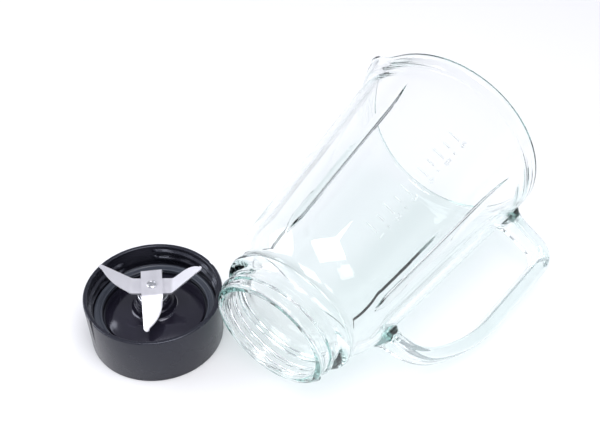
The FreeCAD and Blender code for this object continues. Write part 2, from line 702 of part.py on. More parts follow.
def strap_section(at):
    """Rounded strap section in the YZ plane, centred on a point."""
    half_width = STRAP_WIDTH / 2
    half_depth = STRAP_THICKNESS / 2
    flat_width = half_width - STRAP_ROUND
    flat_depth = half_depth - STRAP_ROUND
    corner = STRAP_ROUND * math.sqrt(0.5)
    edges = []
    for index in range(4):
        swap = index % 2
        side_y, side_z = [(1, 1), (-1, 1), (-1, -1), (1, -1)][index]
        centre = at.add(vec(0, side_y * flat_width, side_z * flat_depth))
        side = centre.add(vec(0, side_y * STRAP_ROUND, 0))
        top = centre.add(vec(0, 0, side_z * STRAP_ROUND))
        middle = centre.add(vec(0, side_y * corner, side_z * corner))
        edges.append(Part.Arc(side, middle, top).toShape())
        if swap:
            edges.append(Part.makeLine(side, side.add(vec(0, 0, -2 * side_z * flat_depth))))
        else:
            edges.append(Part.makeLine(top, top.add(vec(0, -2 * side_y * flat_width, 0))))
    return Part.Wire(Part.__sortEdges__(edges))


def bend(start, heading, radius, turn):
    """Arc that leaves a (radius, level) point at a heading and turns left; returns it and its end."""
    first = math.radians(heading)
    middle = math.radians(heading + turn / 2)
    last = math.radians(heading + turn)
    centre = (start[0] - radius * math.sin(first), start[1] + radius * math.cos(first))
    halfway = (centre[0] + radius * math.sin(middle), centre[1] - radius * math.cos(middle))
    end = (centre[0] + radius * math.sin(last), centre[1] - radius * math.cos(last))
    return arc(start, halfway, end), end


def run(start, heading, length):
    """Straight run from a (radius, level) point at a heading; returns it and its end."""
    angle = math.radians(heading)
    end = (start[0] + length * math.cos(angle), start[1] + length * math.sin(angle))
    return Part.makeLine(vec(start[0], 0, start[1]), vec(end[0], 0, end[1])), end


def handle():
    """Glass strap handle along its middle line, from the lower root round to the upper."""
    high = JUG_LENGTH - HANDLE_HEAD_DROP
    root = (wall_r(HANDLE_FOOT) - HANDLE_SINK, HANDLE_FOOT)
    head = (wall_r(high) - HANDLE_SINK, high)
    side_heading = HANDLE_LEAVE + HANDLE_LOW_TURN + HANDLE_SIDE_TURN
    head_heading = side_heading + HANDLE_TOP_TURN
    first, at = run(root, HANDLE_LEAVE, HANDLE_RUN)
    low_bend, at = bend(at, HANDLE_LEAVE, HANDLE_LOW_BEND_R, HANDLE_LOW_TURN)
    side_bend, side_start = bend(at, HANDLE_LEAVE + HANDLE_LOW_TURN, HANDLE_SIDE_BEND_R, HANDLE_SIDE_TURN)
    corner = bend((0, 0), side_heading, HANDLE_TOP_BEND_R, HANDLE_TOP_TURN)[1]
    gap = (head[0] - side_start[0] - corner[0], head[1] - side_start[1] - corner[1])
    side = (math.cos(math.radians(side_heading)), math.sin(math.radians(side_heading)))
    back = (math.cos(math.radians(head_heading)), math.sin(math.radians(head_heading)))
    cross = side[0] * back[1] - side[1] * back[0]
    side_length = (gap[0] * back[1] - gap[1] * back[0]) / cross
    back_length = (side[0] * gap[1] - side[1] * gap[0]) / cross
    side_run, at = run(side_start, side_heading, side_length)
    top_bend, at = bend(at, side_heading, HANDLE_TOP_BEND_R, HANDLE_TOP_TURN)
    last = run(at, head_heading, back_length)[0]
    path = Part.Wire([first, low_bend, side_bend, side_run, top_bend, last])
    section = strap_section(vec(root[0], 0, root[1]))
    section.rotate(vec(root[0], 0, root[1]), vec(0, 1, 0), -HANDLE_LEAVE)
    return path.makePipeShell([section], True, False)


def neck_thread():
    crest = NECK_R + NECK_RIDGE
    return thread_ridge(NECK_R, crest, NECK_THREAD_LIFT, NECK_THREAD_TURNS, 0)


def scale_ticks():
    """Raised measuring lines on the side of the body, a quarter turn from the handle."""
    ticks = []
    for index in range(TICK_COUNT):
        level = TICK_START + TICK_STEP * index
        tick = Part.makeBox(
            TICK_PROUD + TICK_WIDTH,
            TICK_LENGTH,
            TICK_WIDTH,
            vec(wall_r(level) - TICK_WIDTH, -TICK_LENGTH / 2, level),
        )
        ticks.append(turned(tick, -90))
    return ticks


def resting_roll(points):
    """Angle about the jug's axis at which the handle comes down on the surface, in degrees."""
    low, high = 0.0, HANDLE_ROLL_MOST
    while high - low > ROLL_STEP:
        roll = math.radians((low + high) / 2)
        heights = [
            NECK_Z + p.z * math.sin(TILT) - (p.x * math.sin(roll) + p.y * math.cos(roll)) * math.cos(TILT)
            for p in points
        ]
        if min(heights) > 0:
            low = (low + high) / 2
        else:
            high = (low + high) / 2
    return low


def glass_jug():
    """Pressed glass jug: threaded neck, flared ribbed body, spout and strap handle in one piece."""
    strap = handle()
    beak = spout_body(0, OVERCUT).cut(spout_trim())
    solid = jug_blank().fuse([strap, beak])
    solid = solid.fuse(neck_thread())
    solid = solid.fuse(scale_ticks())
    hollow = jug_hollow()
    for rib in jug_ribs():
        hollow = hollow.cut(rib)
    solid = solid.cut(hollow)
    solid = solid.cut(spout_body(SPOUT_WALL, OVERCUT))
    roll = resting_roll(strap.tessellate(HANDLE_MESH)[0])
    solid.rotate(ORIGIN, UP, roll)
    solid.rotate(ORIGIN, vec(1, 0, 0), -90 + math.degrees(TILT))
    solid.translate(vec(NECK_X, NECK_Y, NECK_Z))
    return solid


def export():
    os.makedirs("parts", exist_ok=True)
    pieces = [
        glass_jug,
        base_collar,
        sealing_ring,
        bearing_carrier,
        carrier_screws,
        carrier_o_ring,
        bearing_tube,
        upper_bush,
        lower_bush,
        shaft_lip_seal,
        seal_cap,
        upper_thrust_washer,
        lower_thrust_washer,
        circlip,
        blade_shaft,
        blade_spacer,
        lower_blade,
        upper_blade,
        coupling_insert,
        drive_coupling,
    ]
    for piece in pieces:
        shape = piece()
        shape.exportStep(os.path.join("parts", piece.__name__ + ".step"))
        box = shape.BoundBox
        print(
            piece.__name__, len(shape.Solids), shape.isValid(), round(shape.Volume, 1),
            [round(v, 2) for v in (box.XMin, box.XMax, box.YMin, box.YMax, box.ZMin, box.ZMax)],
        )


export()
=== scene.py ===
import json
import math

import bpy
from mathutils import Matrix, Vector


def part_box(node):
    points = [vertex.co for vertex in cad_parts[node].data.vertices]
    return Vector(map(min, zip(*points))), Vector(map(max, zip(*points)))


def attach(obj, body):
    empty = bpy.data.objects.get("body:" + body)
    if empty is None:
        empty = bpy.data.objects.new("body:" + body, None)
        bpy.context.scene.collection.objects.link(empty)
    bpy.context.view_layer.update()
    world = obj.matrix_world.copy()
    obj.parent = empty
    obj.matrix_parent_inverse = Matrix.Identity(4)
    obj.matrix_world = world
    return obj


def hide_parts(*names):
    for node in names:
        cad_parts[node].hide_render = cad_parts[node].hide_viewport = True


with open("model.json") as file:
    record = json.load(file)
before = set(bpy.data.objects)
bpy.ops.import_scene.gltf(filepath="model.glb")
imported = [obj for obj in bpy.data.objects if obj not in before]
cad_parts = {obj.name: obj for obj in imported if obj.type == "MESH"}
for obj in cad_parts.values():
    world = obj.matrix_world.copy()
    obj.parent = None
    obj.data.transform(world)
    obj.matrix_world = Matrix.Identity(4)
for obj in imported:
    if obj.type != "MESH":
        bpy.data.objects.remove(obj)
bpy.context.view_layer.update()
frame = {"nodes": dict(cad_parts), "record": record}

MM = 0.001


# ---- Studio ---------------------------------------------------------------------------------
# A white table under a room that is bright low down and dim above. A large softbox hangs over the
# front, and weaker ones stand behind and on both sides, so that glass and gloss have something to mirror.
TABLE_ACROSS = 6.0
TABLE_ROUGH = 0.65
TABLE_GLOSS = 0.2
TABLE_WHITE = (0.730, 0.725, 0.735, 1)
ROOM_DIM = (0.50, 0.515, 0.56, 1)
ROOM_BRIGHT = (1.0, 1.02, 1.06, 1)
ROOM_FADE = (0.12, 0.42)      # heights on a unit sphere between which the room goes dim

bpy.ops.object.select_all(action="DESELECT")
bpy.ops.mesh.primitive_plane_add(size=TABLE_ACROSS)
table_top = bpy.context.object
table_top.name = "table_top"
table_paint = bpy.data.materials.new("table_paint")
table_paint.use_nodes = True
table_shader = table_paint.node_tree.nodes["Principled BSDF"]
table_shader.inputs["Base Color"].default_value = TABLE_WHITE
table_shader.inputs["Roughness"].default_value = TABLE_ROUGH
table_shader.inputs["Specular IOR Level"].default_value = TABLE_GLOSS
table_top.data.materials.append(table_paint)

studio = bpy.data.worlds.new("studio")
bpy.context.scene.world = studio
studio.use_nodes = True
parts, wires = studio.node_tree.nodes, studio.node_tree.links
room = parts["Background"]
backdrop = parts.new("ShaderNodeBackground")
backdrop.inputs["Color"].default_value = ROOM_BRIGHT
upward = parts.new("ShaderNodeTexCoord")
height = parts.new("ShaderNodeSeparateXYZ")
fade = parts.new("ShaderNodeValToRGB")
fade.color_ramp.elements[0].position = ROOM_FADE[0]
fade.color_ramp.elements[0].color = ROOM_BRIGHT
fade.color_ramp.elements[1].position = ROOM_FADE[1]
fade.color_ramp.elements[1].color = ROOM_DIM
seen = parts.new("ShaderNodeLightPath")
swap = parts.new("ShaderNodeMixShader")
wires.new(upward.outputs["Generated"], height.inputs["Vector"])
wires.new(height.outputs["Z"], fade.inputs["Fac"])
wires.new(fade.outputs["Color"], room.inputs["Color"])
wires.new(seen.outputs["Is Camera Ray"], swap.inputs["Fac"])
wires.new(room.outputs["Background"], swap.inputs[1])
wires.new(backdrop.outputs["Background"], swap.inputs[2])
wires.new(swap.outputs["Shader"], parts["World Output"].inputs["Surface"])


def softbox(name, place, aim, size, power, color):
    """A rectangular lamp at a place, of a width and depth in metres, turned to what it lights."""
    lamp = bpy.data.lights.new(name, "AREA")
    lamp.shape = "RECTANGLE"
    lamp.size, lamp.size_y = size
    lamp.energy = power
    lamp.color = color
    box = bpy.data.objects.new(name, lamp)
    box.location = place
    box.rotation_euler = (Vector(aim) - Vector(place)).to_track_quat("-Z", "Y").to_euler()
    bpy.context.scene.collection.objects.link(box)


OVER_WHITE = (1.0, 0.99, 1.0)
LEFT_WHITE = (0.93, 0.96, 1.0)
BACK_WHITE = (0.98, 0.99, 1.0)
RIGHT_WHITE = (0.97, 0.99, 1.0)
softbox("softbox_over", (0.32, -0.12, 1.15), (0.08, 0.06, 0.0), (0.80, 0.70), 12.0, OVER_WHITE)
softbox("softbox_back", (-0.25, 1.35, 0.70), (0.08, 0.10, 0.0), (0.80, 0.30), 1.5, BACK_WHITE)
softbox("softbox_left", (-0.95, -0.45, 0.75), (0.0, 0.05, 0.0), (0.90, 0.60), 9.0, LEFT_WHITE)
softbox("softbox_right", (1.10, -0.35, 0.95), (0.1, 0.1, 0.0), (0.50, 0.40), 2.5, RIGHT_WHITE)

CAMERA_LENS = 65.62
CAMERA_SENSOR = 36.0
CAMERA_PLACE = Vector((0.3622, -0.3267, 0.5346))
CAMERA_LOOK = Vector((-0.4429, 0.5894, -0.6756)).normalized()
CAMERA_ROLL = math.radians(-0.574)
NEAREST = 0.01

lens = bpy.data.cameras.new("camera")
lens.lens = CAMERA_LENS
lens.sensor_width = CAMERA_SENSOR
lens.clip_start = NEAREST
camera = bpy.data.objects.new("camera", lens)
bpy.context.scene.collection.objects.link(camera)
bpy.context.scene.camera = camera
level_right = CAMERA_LOOK.cross(Vector((0, 0, 1))).normalized()
level_up = level_right.cross(CAMERA_LOOK)
right = level_right * math.cos(CAMERA_ROLL) + level_up * math.sin(CAMERA_ROLL)
up = level_up * math.cos(CAMERA_ROLL) - level_right * math.sin(CAMERA_ROLL)
facing = Matrix((right, up, -CAMERA_LOOK)).transposed().to_4x4()
camera.matrix_world = Matrix.Translation(CAMERA_PLACE) @ facing
bpy.context.scene.view_settings.view_transform = "Standard"
# Light crosses many walls of glass before it gets out, so it is followed further than usual.
bpy.context.scene.cycles.max_bounces = 24
bpy.context.scene.cycles.glossy_bounces = 16
bpy.context.scene.cycles.transmission_bounces = 24


# ---- Base collar ----------------------------------------------------------------------------
# The black collar that holds the whole blade set and screws on the jug: one injection moulding in
# glass-filled nylon, with a web across the middle, ribs under the web and the thread inside.
COLLAR_R = 44.0
COLLAR_FOOT_R = 42.6
COLLAR_BORE_R = 41.2
SKIRT_R = 39.8
SKIRT_RELIEF = 0.4
SKIRT_LAND = 5.0
WEB_BORE_R = 20.0
WEB_UNDER = 15.0
WEB_TOP = 17.5
LEDGE_R = 33.4
THREAD_PITCH = 5.5
THREAD_DEPTH = 1.8
THREAD_ROOT_HALF = 1.4
THREAD_CREST_HALF = 0.6
COLLAR_THREAD_START = 134.0      # the first of its two plain breaks starts here too
COLLAR_THREAD_LIFT = 1.6
COLLAR_THREAD_TURNS = 2.0
THREAD_BREAK = 26.0
THREAD_FADE = 5.0
THREAD_FOOT = 0.4         # plain bore left under the thread
THREAD_HEAD = 0.5         # and above it
THREAD_RING = 0.32        # height of each ring of faces in the bore
THREAD_RINGS = 48
ON_BORE = 0.3             # points this near to the bore belong to it
GRIP_ANGLES = (253.0, 73.0)
GROOVE_WIDTH = 4.2
GROOVE_DEPTH = 0.9
GROOVE_FOOT = 8.4
CUTTER_THICK = 4.0
CUTTER_TALL = 40.0
WEB_RIBS = 8
WEB_RIB_WIDTH = 1.6
WEB_RIB_DEPTH = 4.0
WEB_RIB_SINK = 0.4
WELD = 0.000002           # points nearer than this, in metres, are one

collar_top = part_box("base_collar")[1].z / MM
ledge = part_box("sealing_ring")[0].z / MM


def rounded(corners, steps=4):
    """Points round an outline of (radius, height, rounding) corners, each eased by a small arc."""
    points = []
    for index, (across, high, easing) in enumerate(corners):
        here = Vector((across, high))
        if not easing:
            points.append(tuple(here))
            continue
        before = (Vector(corners[index - 1][:2]) - here).normalized()
        after = (Vector(corners[(index + 1) % len(corners)][:2]) - here).normalized()
        half = before.angle(after) / 2
        middle = here + (before + after).normalized() * easing / math.sin(half)
        first = here + before * easing / math.tan(half) - middle
        last = here + after * easing / math.tan(half) - middle
        for step in range(steps + 1):
            arm = first.lerp(last, step / steps).normalized() * easing
            points.append(tuple(middle + arm))
    return points


def turned(name, outline, steps=160, closed=True):
    """A piece turned about the upright axis from its (radius, height) outline in millimetres."""
    points = [Vector((across, 0, high)) * MM for across, high in outline]
    bpy.ops.object.select_all(action="DESELECT")
    bpy.ops.mesh.primitive_plane_add(size=MM)
    piece = bpy.context.object
    piece.name = name
    bpy.ops.object.mode_set(mode="EDIT")
    bpy.ops.mesh.merge(type="CENTER")
    bpy.ops.transform.translate(value=points[0])
    for before, after in zip(points, points[1:] + points[:1] * closed):
        bpy.ops.mesh.extrude_region_move(TRANSFORM_OT_translate={"value": after - before})
    bpy.ops.mesh.select_all(action="SELECT")
    bpy.ops.mesh.remove_doubles(threshold=WELD)
    bpy.ops.mesh.spin(steps=steps, angle=2 * math.pi, center=(0, 0, 0), axis=(0, 0, 1))
    bpy.ops.mesh.select_all(action="SELECT")
    bpy.ops.mesh.remove_doubles(threshold=WELD)
    bpy.ops.mesh.normals_make_consistent(inside=False)
    bpy.ops.object.mode_set(mode="OBJECT")
    return piece


def smooth(piece, angle=35.0):
    """The piece shaded smooth, apart from edges sharper than an angle."""
    bpy.ops.object.select_all(action="DESELECT")
    piece.select_set(True)
    bpy.context.view_layer.objects.active = piece
    bpy.ops.object.shade_smooth_by_angle(angle=math.radians(angle))


def eased(share):
    """0 to 1 with soft ends."""
    share = min(1.0, max(0.0, share))
    return share * share * (3 - 2 * share)


def thread_height(angle, level, turns, lift):
    """The share of a thread's depth at an angle from its start and a level from its foot."""
    part = angle % 360 / 360
    whole = round((level - lift) / THREAD_PITCH - part)
    turn = part + max(whole, 0)
    if turn > turns:
        return 0.0
    off_middle = abs(level - lift - THREAD_PITCH * turn)
    flank = (THREAD_ROOT_HALF - off_middle) / (THREAD_ROOT_HALF - THREAD_CREST_HALF)
    run_out = min(turn, turns - turn) * 360 / THREAD_FADE
    return eased(flank) * eased(run_out)


def moved(piece, shape):
    """Every point of the piece put where shape(point) says."""
    for point in piece.data.vertices:
        point.co = shape(point.co)
    piece.data.update()


def collar_thread(point):
    """A point of the collar's bore moved in by the thread's ridge."""
    across = math.hypot(point.x, point.y) / MM
    level = point.z / MM
    in_thread = ledge + THREAD_FOOT <= level <= collar_top - THREAD_HEAD
    if abs(across - COLLAR_BORE_R) > ON_BORE or not in_thread:
        return point
    angle = math.degrees(math.atan2(point.y, point.x)) - COLLAR_THREAD_START
    stand = thread_height(angle, level - ledge, COLLAR_THREAD_TURNS, COLLAR_THREAD_LIFT)
    to_break = min(angle % 180 - THREAD_BREAK, 180 - angle % 180)
    stand *= eased(to_break / THREAD_FADE)
    inward = 1 - THREAD_DEPTH * stand / across
    return Vector((point.x * inward, point.y * inward, point.z))


thread_levels = [ledge + THREAD_FOOT + THREAD_RING * step for step in range(THREAD_RINGS)]
collar = turned("collar", rounded([
    (SKIRT_R, 0, 0.4),
    (COLLAR_FOOT_R, 0, 0.7),
    (COLLAR_R, collar_top, 0.9),
    (COLLAR_BORE_R, collar_top, 0.7),
    *[(COLLAR_BORE_R, level, 0) for level in reversed(thread_levels)],
    (COLLAR_BORE_R, ledge, 0.25),
    (LEDGE_R, ledge, 0.3),
    (LEDGE_R, WEB_TOP, 0.3),
    (WEB_BORE_R, WEB_TOP, 0.3),
    (WEB_BORE_R, WEB_UNDER, 0.3),
    (SKIRT_R + SKIRT_RELIEF, WEB_UNDER, 0.8),
    (SKIRT_R + SKIRT_RELIEF, SKIRT_LAND, 0),
    (SKIRT_R, SKIRT_LAND, 0.1),
]), steps=288)
moved(collar, collar_thread)


def block(name, size, place):
    """A block of a size in millimetres about its place."""
    bpy.ops.object.select_all(action="DESELECT")
    bpy.ops.mesh.primitive_cube_add(size=MM, location=Vector(place) * MM, scale=size)
    piece = bpy.context.object
    piece.name = name
    bpy.ops.object.transform_apply(location=True, rotation=True, scale=True)
    return piece


def applied(piece, kind, **settings):
    """A modifier put on the piece with its settings, and made part of its mesh."""
    modifier = piece.modifiers.new(kind.lower(), kind)
    for name, value in settings.items():
        setattr(modifier, name, value)
    bpy.ops.object.select_all(action="DESELECT")
    piece.select_set(True)
    bpy.context.view_layer.objects.active = piece
    bpy.ops.object.modifier_apply(modifier=modifier.name)


def turned_by(piece, angle):
    """The piece turned about the upright axis by an angle in degrees."""
    piece.data.transform(Matrix.Rotation(math.radians(angle), 4, "Z"))


def joined(first, others):
    """Several pieces made one object, under the name of the first."""
    bpy.ops.object.select_all(action="DESELECT")
    for piece in [first, *others]:
        piece.select_set(True)
    bpy.context.view_layer.objects.active = first
    bpy.ops.object.join()
    return first


for angle in GRIP_ANGLES:
    size = (CUTTER_THICK, GROOVE_WIDTH, CUTTER_TALL)
    middle = (COLLAR_R - GROOVE_DEPTH + CUTTER_THICK / 2, 0, GROOVE_FOOT + CUTTER_TALL / 2)
    groove_cutter = block("groove_cutter", size, middle)
    applied(groove_cutter, "BEVEL", width=0.35 * MM, segments=3)
    turned_by(groove_cutter, angle)
    applied(collar, "BOOLEAN", object=groove_cutter, operation="DIFFERENCE", solver="EXACT")
    bpy.data.objects.remove(groove_cutter)

ribs = []
for index in range(WEB_RIBS):
    size = (SKIRT_R - WEB_BORE_R, WEB_RIB_WIDTH, WEB_RIB_DEPTH + WEB_RIB_SINK)
    out = WEB_BORE_R + WEB_RIB_SINK + size[0] / 2
    rib = block("web_rib", size, (out, 0, WEB_UNDER + WEB_RIB_SINK - size[2] / 2))
    applied(rib, "BEVEL", width=0.3 * MM, segments=2)
    turned_by(rib, 360 / WEB_RIBS * (index + 0.5))
    ribs.append(rib)
joined(collar, ribs)
smooth(collar)


def group(name, inputs, outputs):
    """An empty shader group with its sockets, and its two ends."""
    tree = bpy.data.node_groups.new(name, "ShaderNodeTree")
    for label, kind in inputs:
        tree.interface.new_socket(label, in_out="INPUT", socket_type="NodeSocket" + kind)
    for label, kind in outputs:
        tree.interface.new_socket(label, in_out="OUTPUT", socket_type="NodeSocket" + kind)
    return tree, tree.nodes.new("NodeGroupInput"), tree.nodes.new("NodeGroupOutput")


def placed(tree, kind, **values):
    """A node of a kind, with numbers or colours for its sockets by name."""
    node = tree.nodes.new("ShaderNode" + kind)
    for label, value in values.items():
        node.inputs[label.replace("_", " ")].default_value = value
    return node


# Moulded or pressed surfaces carry a fine grain, slow waves from cooling, and a few faint rubs.
moulded, moulded_in, moulded_out = group(
    "moulded_surface",
    [("Vector", "Vector"), ("Grain", "Float"), ("Depth", "Float"), ("Rough", "Float"), ("Rubs", "Float")],
    [("Rough", "Float"), ("Mask", "Float"), ("Normal", "Vector")],
)
fine = placed(moulded, "TexNoise", Detail=3.0, Roughness=0.6)
slow = placed(moulded, "TexNoise", Scale=28.0, Detail=2.0)
rub = placed(moulded, "TexNoise", Scale=160.0, Detail=5.0, Roughness=0.7, Distortion=1.4)
rub_edge = placed(moulded, "MapRange", From_Min=0.55, From_Max=0.78)
rough_share = placed(moulded, "MapRange", From_Min=0.3, From_Max=0.7, To_Min=-0.25, To_Max=0.25)
rough_part = placed(moulded, "Math")
rough_part.operation = "MULTIPLY"
rough_sum = placed(moulded, "Math")
rough_rub = placed(moulded, "Math")
rough_rub.operation = "MULTIPLY_ADD"
grain_bump = placed(moulded, "Bump", Distance=0.0002)
wire = moulded.links.new
wire(moulded_in.outputs["Vector"], fine.inputs["Vector"])
wire(moulded_in.outputs["Grain"], fine.inputs["Scale"])
wire(moulded_in.outputs["Vector"], slow.inputs["Vector"])
wire(moulded_in.outputs["Vector"], rub.inputs["Vector"])
wire(rub.outputs["Fac"], rub_edge.inputs["Value"])
wire(slow.outputs["Fac"], rough_share.inputs["Value"])
wire(rough_share.outputs["Result"], rough_part.inputs[0])
wire(moulded_in.outputs["Rough"], rough_part.inputs[1])
wire(rough_part.outputs["Value"], rough_sum.inputs[0])
wire(moulded_in.outputs["Rough"], rough_sum.inputs[1])
wire(rub_edge.outputs["Result"], rough_rub.inputs[0])
wire(moulded_in.outputs["Rubs"], rough_rub.inputs[1])
wire(rough_sum.outputs["Value"], rough_rub.inputs[2])
wire(fine.outputs["Fac"], grain_bump.inputs["Height"])
wire(moulded_in.outputs["Depth"], grain_bump.inputs["Strength"])
wire(rough_rub.outputs["Value"], moulded_out.inputs["Rough"])
wire(rub_edge.outputs["Result"], moulded_out.inputs["Mask"])
wire(grain_bump.outputs["Normal"], moulded_out.inputs["Normal"])


def material(name, **sockets):
    """A new material with its shader's own sockets set; returns it with its tree and shader."""
    made = bpy.data.materials.new(name)
    made.use_nodes = True
    shader = made.node_tree.nodes["Principled BSDF"]
    for label, value in sockets.items():
        shader.inputs[label.replace("_", " ")].default_value = value
    return made, made.node_tree, shader


def grouped(tree, made_group, **values):
    """A shader group placed in a material, with its inputs set and laid out on the object."""
    node = tree.nodes.new("ShaderNodeGroup")
    node.node_tree = made_group
    for label, value in values.items():
        node.inputs[label].default_value = value
    spot = tree.nodes.new("ShaderNodeTexCoord")
    tree.links.new(spot.outputs["Object"], node.inputs["Vector"])
    return node


def between(tree, mask, low, high, target):
    """A colour that runs from low to high with a mask, into the target socket."""
    ramp = tree.nodes.new("ShaderNodeValToRGB")
    ramp.color_ramp.elements[0].color = (*low, 1)
    ramp.color_ramp.elements[1].color = (*high, 1)
    tree.links.new(mask, ramp.inputs["Fac"])
    tree.links.new(ramp.outputs["Color"], target)


def moulded_material(name, low, high, grain, depth, rough, rubs, **sockets):
    """A plastic, rubber or nylon by its two colours, grain, bump, roughness and faint rubs in random
    spots.
    """
    made, tree, shader = material(name, **sockets)
    skin = grouped(tree, moulded, Grain=grain, Depth=depth, Rough=rough, Rubs=rubs)
    between(tree, skin.outputs["Mask"], low, high, shader.inputs["Base Color"])
    tree.links.new(skin.outputs["Rough"], shader.inputs["Roughness"])
    tree.links.new(skin.outputs["Normal"], shader.inputs["Normal"])
    return made


collar_black = moulded_material(
    "collar_black", (0.009, 0.009, 0.014), (0.018, 0.018, 0.026),
    grain=2600.0, depth=0.20, rough=0.25, rubs=0.06,
    Specular_Tint=(0.82, 0.86, 1.0, 1),
)


def dressed(piece, finish):
    """The piece in one material, whatever it came with."""
    piece.data.materials.clear()
    piece.data.materials.append(finish)


dressed(collar, collar_black)
dressed(frame["nodes"]["base_collar"], collar_black)
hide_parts("base_collar")
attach(collar, "base")


# ---- Sealing ring ---------------------------------------------------------------------------
# A flat grey-blue silicone ring that lies on the collar's ledge. Two low beads run round its top,
# and the jug's rim beds down on them.
SEAL_IN_R = 33.6
SEAL_OUT_R = 38.8
BEAD_RISE = 0.35
BEAD_TOP = 1.2            # from the ring's edge to where a bead's top ends
BEAD_FOOT = 1.6
seal_foot, seal_head = (corner.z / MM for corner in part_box("sealing_ring"))
seal = turned("seal_ring", rounded([
    (SEAL_IN_R, seal_foot, 0.3),
    (SEAL_OUT_R, seal_foot, 0.3),
    (SEAL_OUT_R, seal_head, 0.5),
    (SEAL_OUT_R - BEAD_TOP, seal_head, 0.3),
    (SEAL_OUT_R - BEAD_FOOT, seal_head - BEAD_RISE, 0.3),
    (SEAL_IN_R + BEAD_FOOT, seal_head - BEAD_RISE, 0.3),
    (SEAL_IN_R + BEAD_TOP, seal_head, 0.3),
    (SEAL_IN_R, seal_head, 0.5),
]))
smooth(seal)
seal_rubber = moulded_material(
    "seal_rubber", (0.040, 0.046, 0.062), (0.062, 0.068, 0.086),
    grain=1800.0, depth=0.35, rough=0.42, rubs=0.15,
)
dressed(seal, seal_rubber)
dressed(frame["nodes"]["sealing_ring"], seal_rubber)
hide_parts("sealing_ring")
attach(seal, "base")


# ---- Bearing carrier ------------------------------------------------------------------------
# The polished charcoal disc with the tall stepped boss in its middle. It is moulded in one, pressed
# round the bearing tube and screwed to the collar's web from below.
CARRIER_R = 31.9
CARRIER_EDGE = 2.4
DOME_RISE = 3.6
DOME_CROWN = 0.18         # share of the rise that the dome bows up by
DOME_EDGE = 0.8
DOME_STEPS = 12
FLARE_STEPS = 8
BOSS_R = 12.8
BOSS_TOP_R = 11.6
BOSS_STEP = 3.5
BOSS_FLARE = 3.2
RECESS_R = 19.5
RECESS_TOP = 19.2
BOSS_UNDER_R = 12.04
TUBE_R = 9.04

carrier_foot, boss_top = (corner.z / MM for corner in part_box("bearing_carrier"))
disc_edge = WEB_TOP + CARRIER_EDGE
dome_foot = disc_edge + DOME_RISE
dome = []
for step in range(1, DOME_STEPS + 1):
    share = step / DOME_STEPS
    across = CARRIER_R - DOME_EDGE + (BOSS_R + BOSS_FLARE - CARRIER_R + DOME_EDGE) * share
    climb = share + DOME_CROWN * math.sin(math.pi * share)
    dome.append((across, disc_edge + DOME_RISE * climb, 0))
flare = []
for step in range(1, FLARE_STEPS + 1):
    lean = math.radians(90 * step / FLARE_STEPS)
    flare.append((
        BOSS_R + BOSS_FLARE * (1 - math.sin(lean)),
        dome_foot + BOSS_FLARE * (1 - math.cos(lean)),
        0,
    ))
carrier = turned("carrier", rounded([
    (CARRIER_R, WEB_TOP, 0.3),
    (CARRIER_R, disc_edge - 0.1, 0.7),
    *dome,
    *flare,
    (BOSS_R, boss_top - BOSS_STEP, 0.35),
    (BOSS_TOP_R, boss_top - BOSS_STEP, 0.2),
    (BOSS_TOP_R, boss_top, 0.5),
    (TUBE_R, boss_top, 0),
    (TUBE_R, carrier_foot, 0),
    (BOSS_UNDER_R, carrier_foot, 0.4),
    (BOSS_UNDER_R, RECESS_TOP, 0.3),
    (RECESS_R, RECESS_TOP, 0.2),
    (RECESS_R, WEB_TOP, 0.2),
]), steps=192)
smooth(carrier, 25.0)
carrier_charcoal = moulded_material(
    "carrier_charcoal", (0.010, 0.009, 0.016), (0.014, 0.013, 0.020),
    grain=420.0, depth=0.08, rough=0.16, rubs=0.04,
    Specular_Tint=(0.86, 0.86, 1.0, 1),
    Coat_Weight=0.12,
    Coat_Roughness=0.05,
)
dressed(carrier, carrier_charcoal)
dressed(frame["nodes"]["bearing_carrier"], carrier_charcoal)
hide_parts("bearing_carrier")
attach(carrier, "base")


# ---- Screws and O-ring under the carrier ----------------------------------------------------
# Four zinc-plated pan-head screws come up through the web, and a nitrile O-ring seals the disc.
# Both keep the shape that the frame gives them.
brushed, brushed_in, brushed_out = group(
    "brushed_surface",
    [("Vector", "Vector"), ("Stretch", "Vector"), ("Depth", "Float"), ("Rough", "Float")],
    [("Rough", "Float"), ("Mask", "Float"), ("Normal", "Vector")],
)
drawn_out = placed(brushed, "VectorMath")
drawn_out.operation = "MULTIPLY"
lines = placed(brushed, "TexNoise", Scale=1.0, Detail=4.0, Roughness=0.7)
stain = placed(brushed, "TexNoise", Scale=90.0, Detail=3.0, Distortion=0.6)
line_rough = placed(brushed, "MapRange", From_Min=0.3, From_Max=0.7, To_Min=-0.08, To_Max=0.08)
stain_rough = placed(brushed, "MapRange", From_Min=0.35, From_Max=0.7, To_Max=0.10)
sum_one = placed(brushed, "Math")
sum_two = placed(brushed, "Math")
mix_mask = placed(brushed, "Math")
mix_mask.operation = "MULTIPLY"
line_bump = placed(brushed, "Bump", Distance=0.0001)
wire = brushed.links.new
wire(brushed_in.outputs["Vector"], drawn_out.inputs[0])
wire(brushed_in.outputs["Stretch"], drawn_out.inputs[1])
wire(drawn_out.outputs["Vector"], lines.inputs["Vector"])
wire(brushed_in.outputs["Vector"], stain.inputs["Vector"])
wire(lines.outputs["Fac"], line_rough.inputs["Value"])
wire(stain.outputs["Fac"], stain_rough.inputs["Value"])
wire(line_rough.outputs["Result"], sum_one.inputs[0])
wire(stain_rough.outputs["Result"], sum_one.inputs[1])
wire(sum_one.outputs["Value"], sum_two.inputs[0])
wire(brushed_in.outputs["Rough"], sum_two.inputs[1])
wire(lines.outputs["Fac"], mix_mask.inputs[0])
wire(stain.outputs["Fac"], mix_mask.inputs[1])
wire(lines.outputs["Fac"], line_bump.inputs["Height"])
wire(brushed_in.outputs["Depth"], line_bump.inputs["Strength"])
wire(sum_two.outputs["Value"], brushed_out.inputs["Rough"])
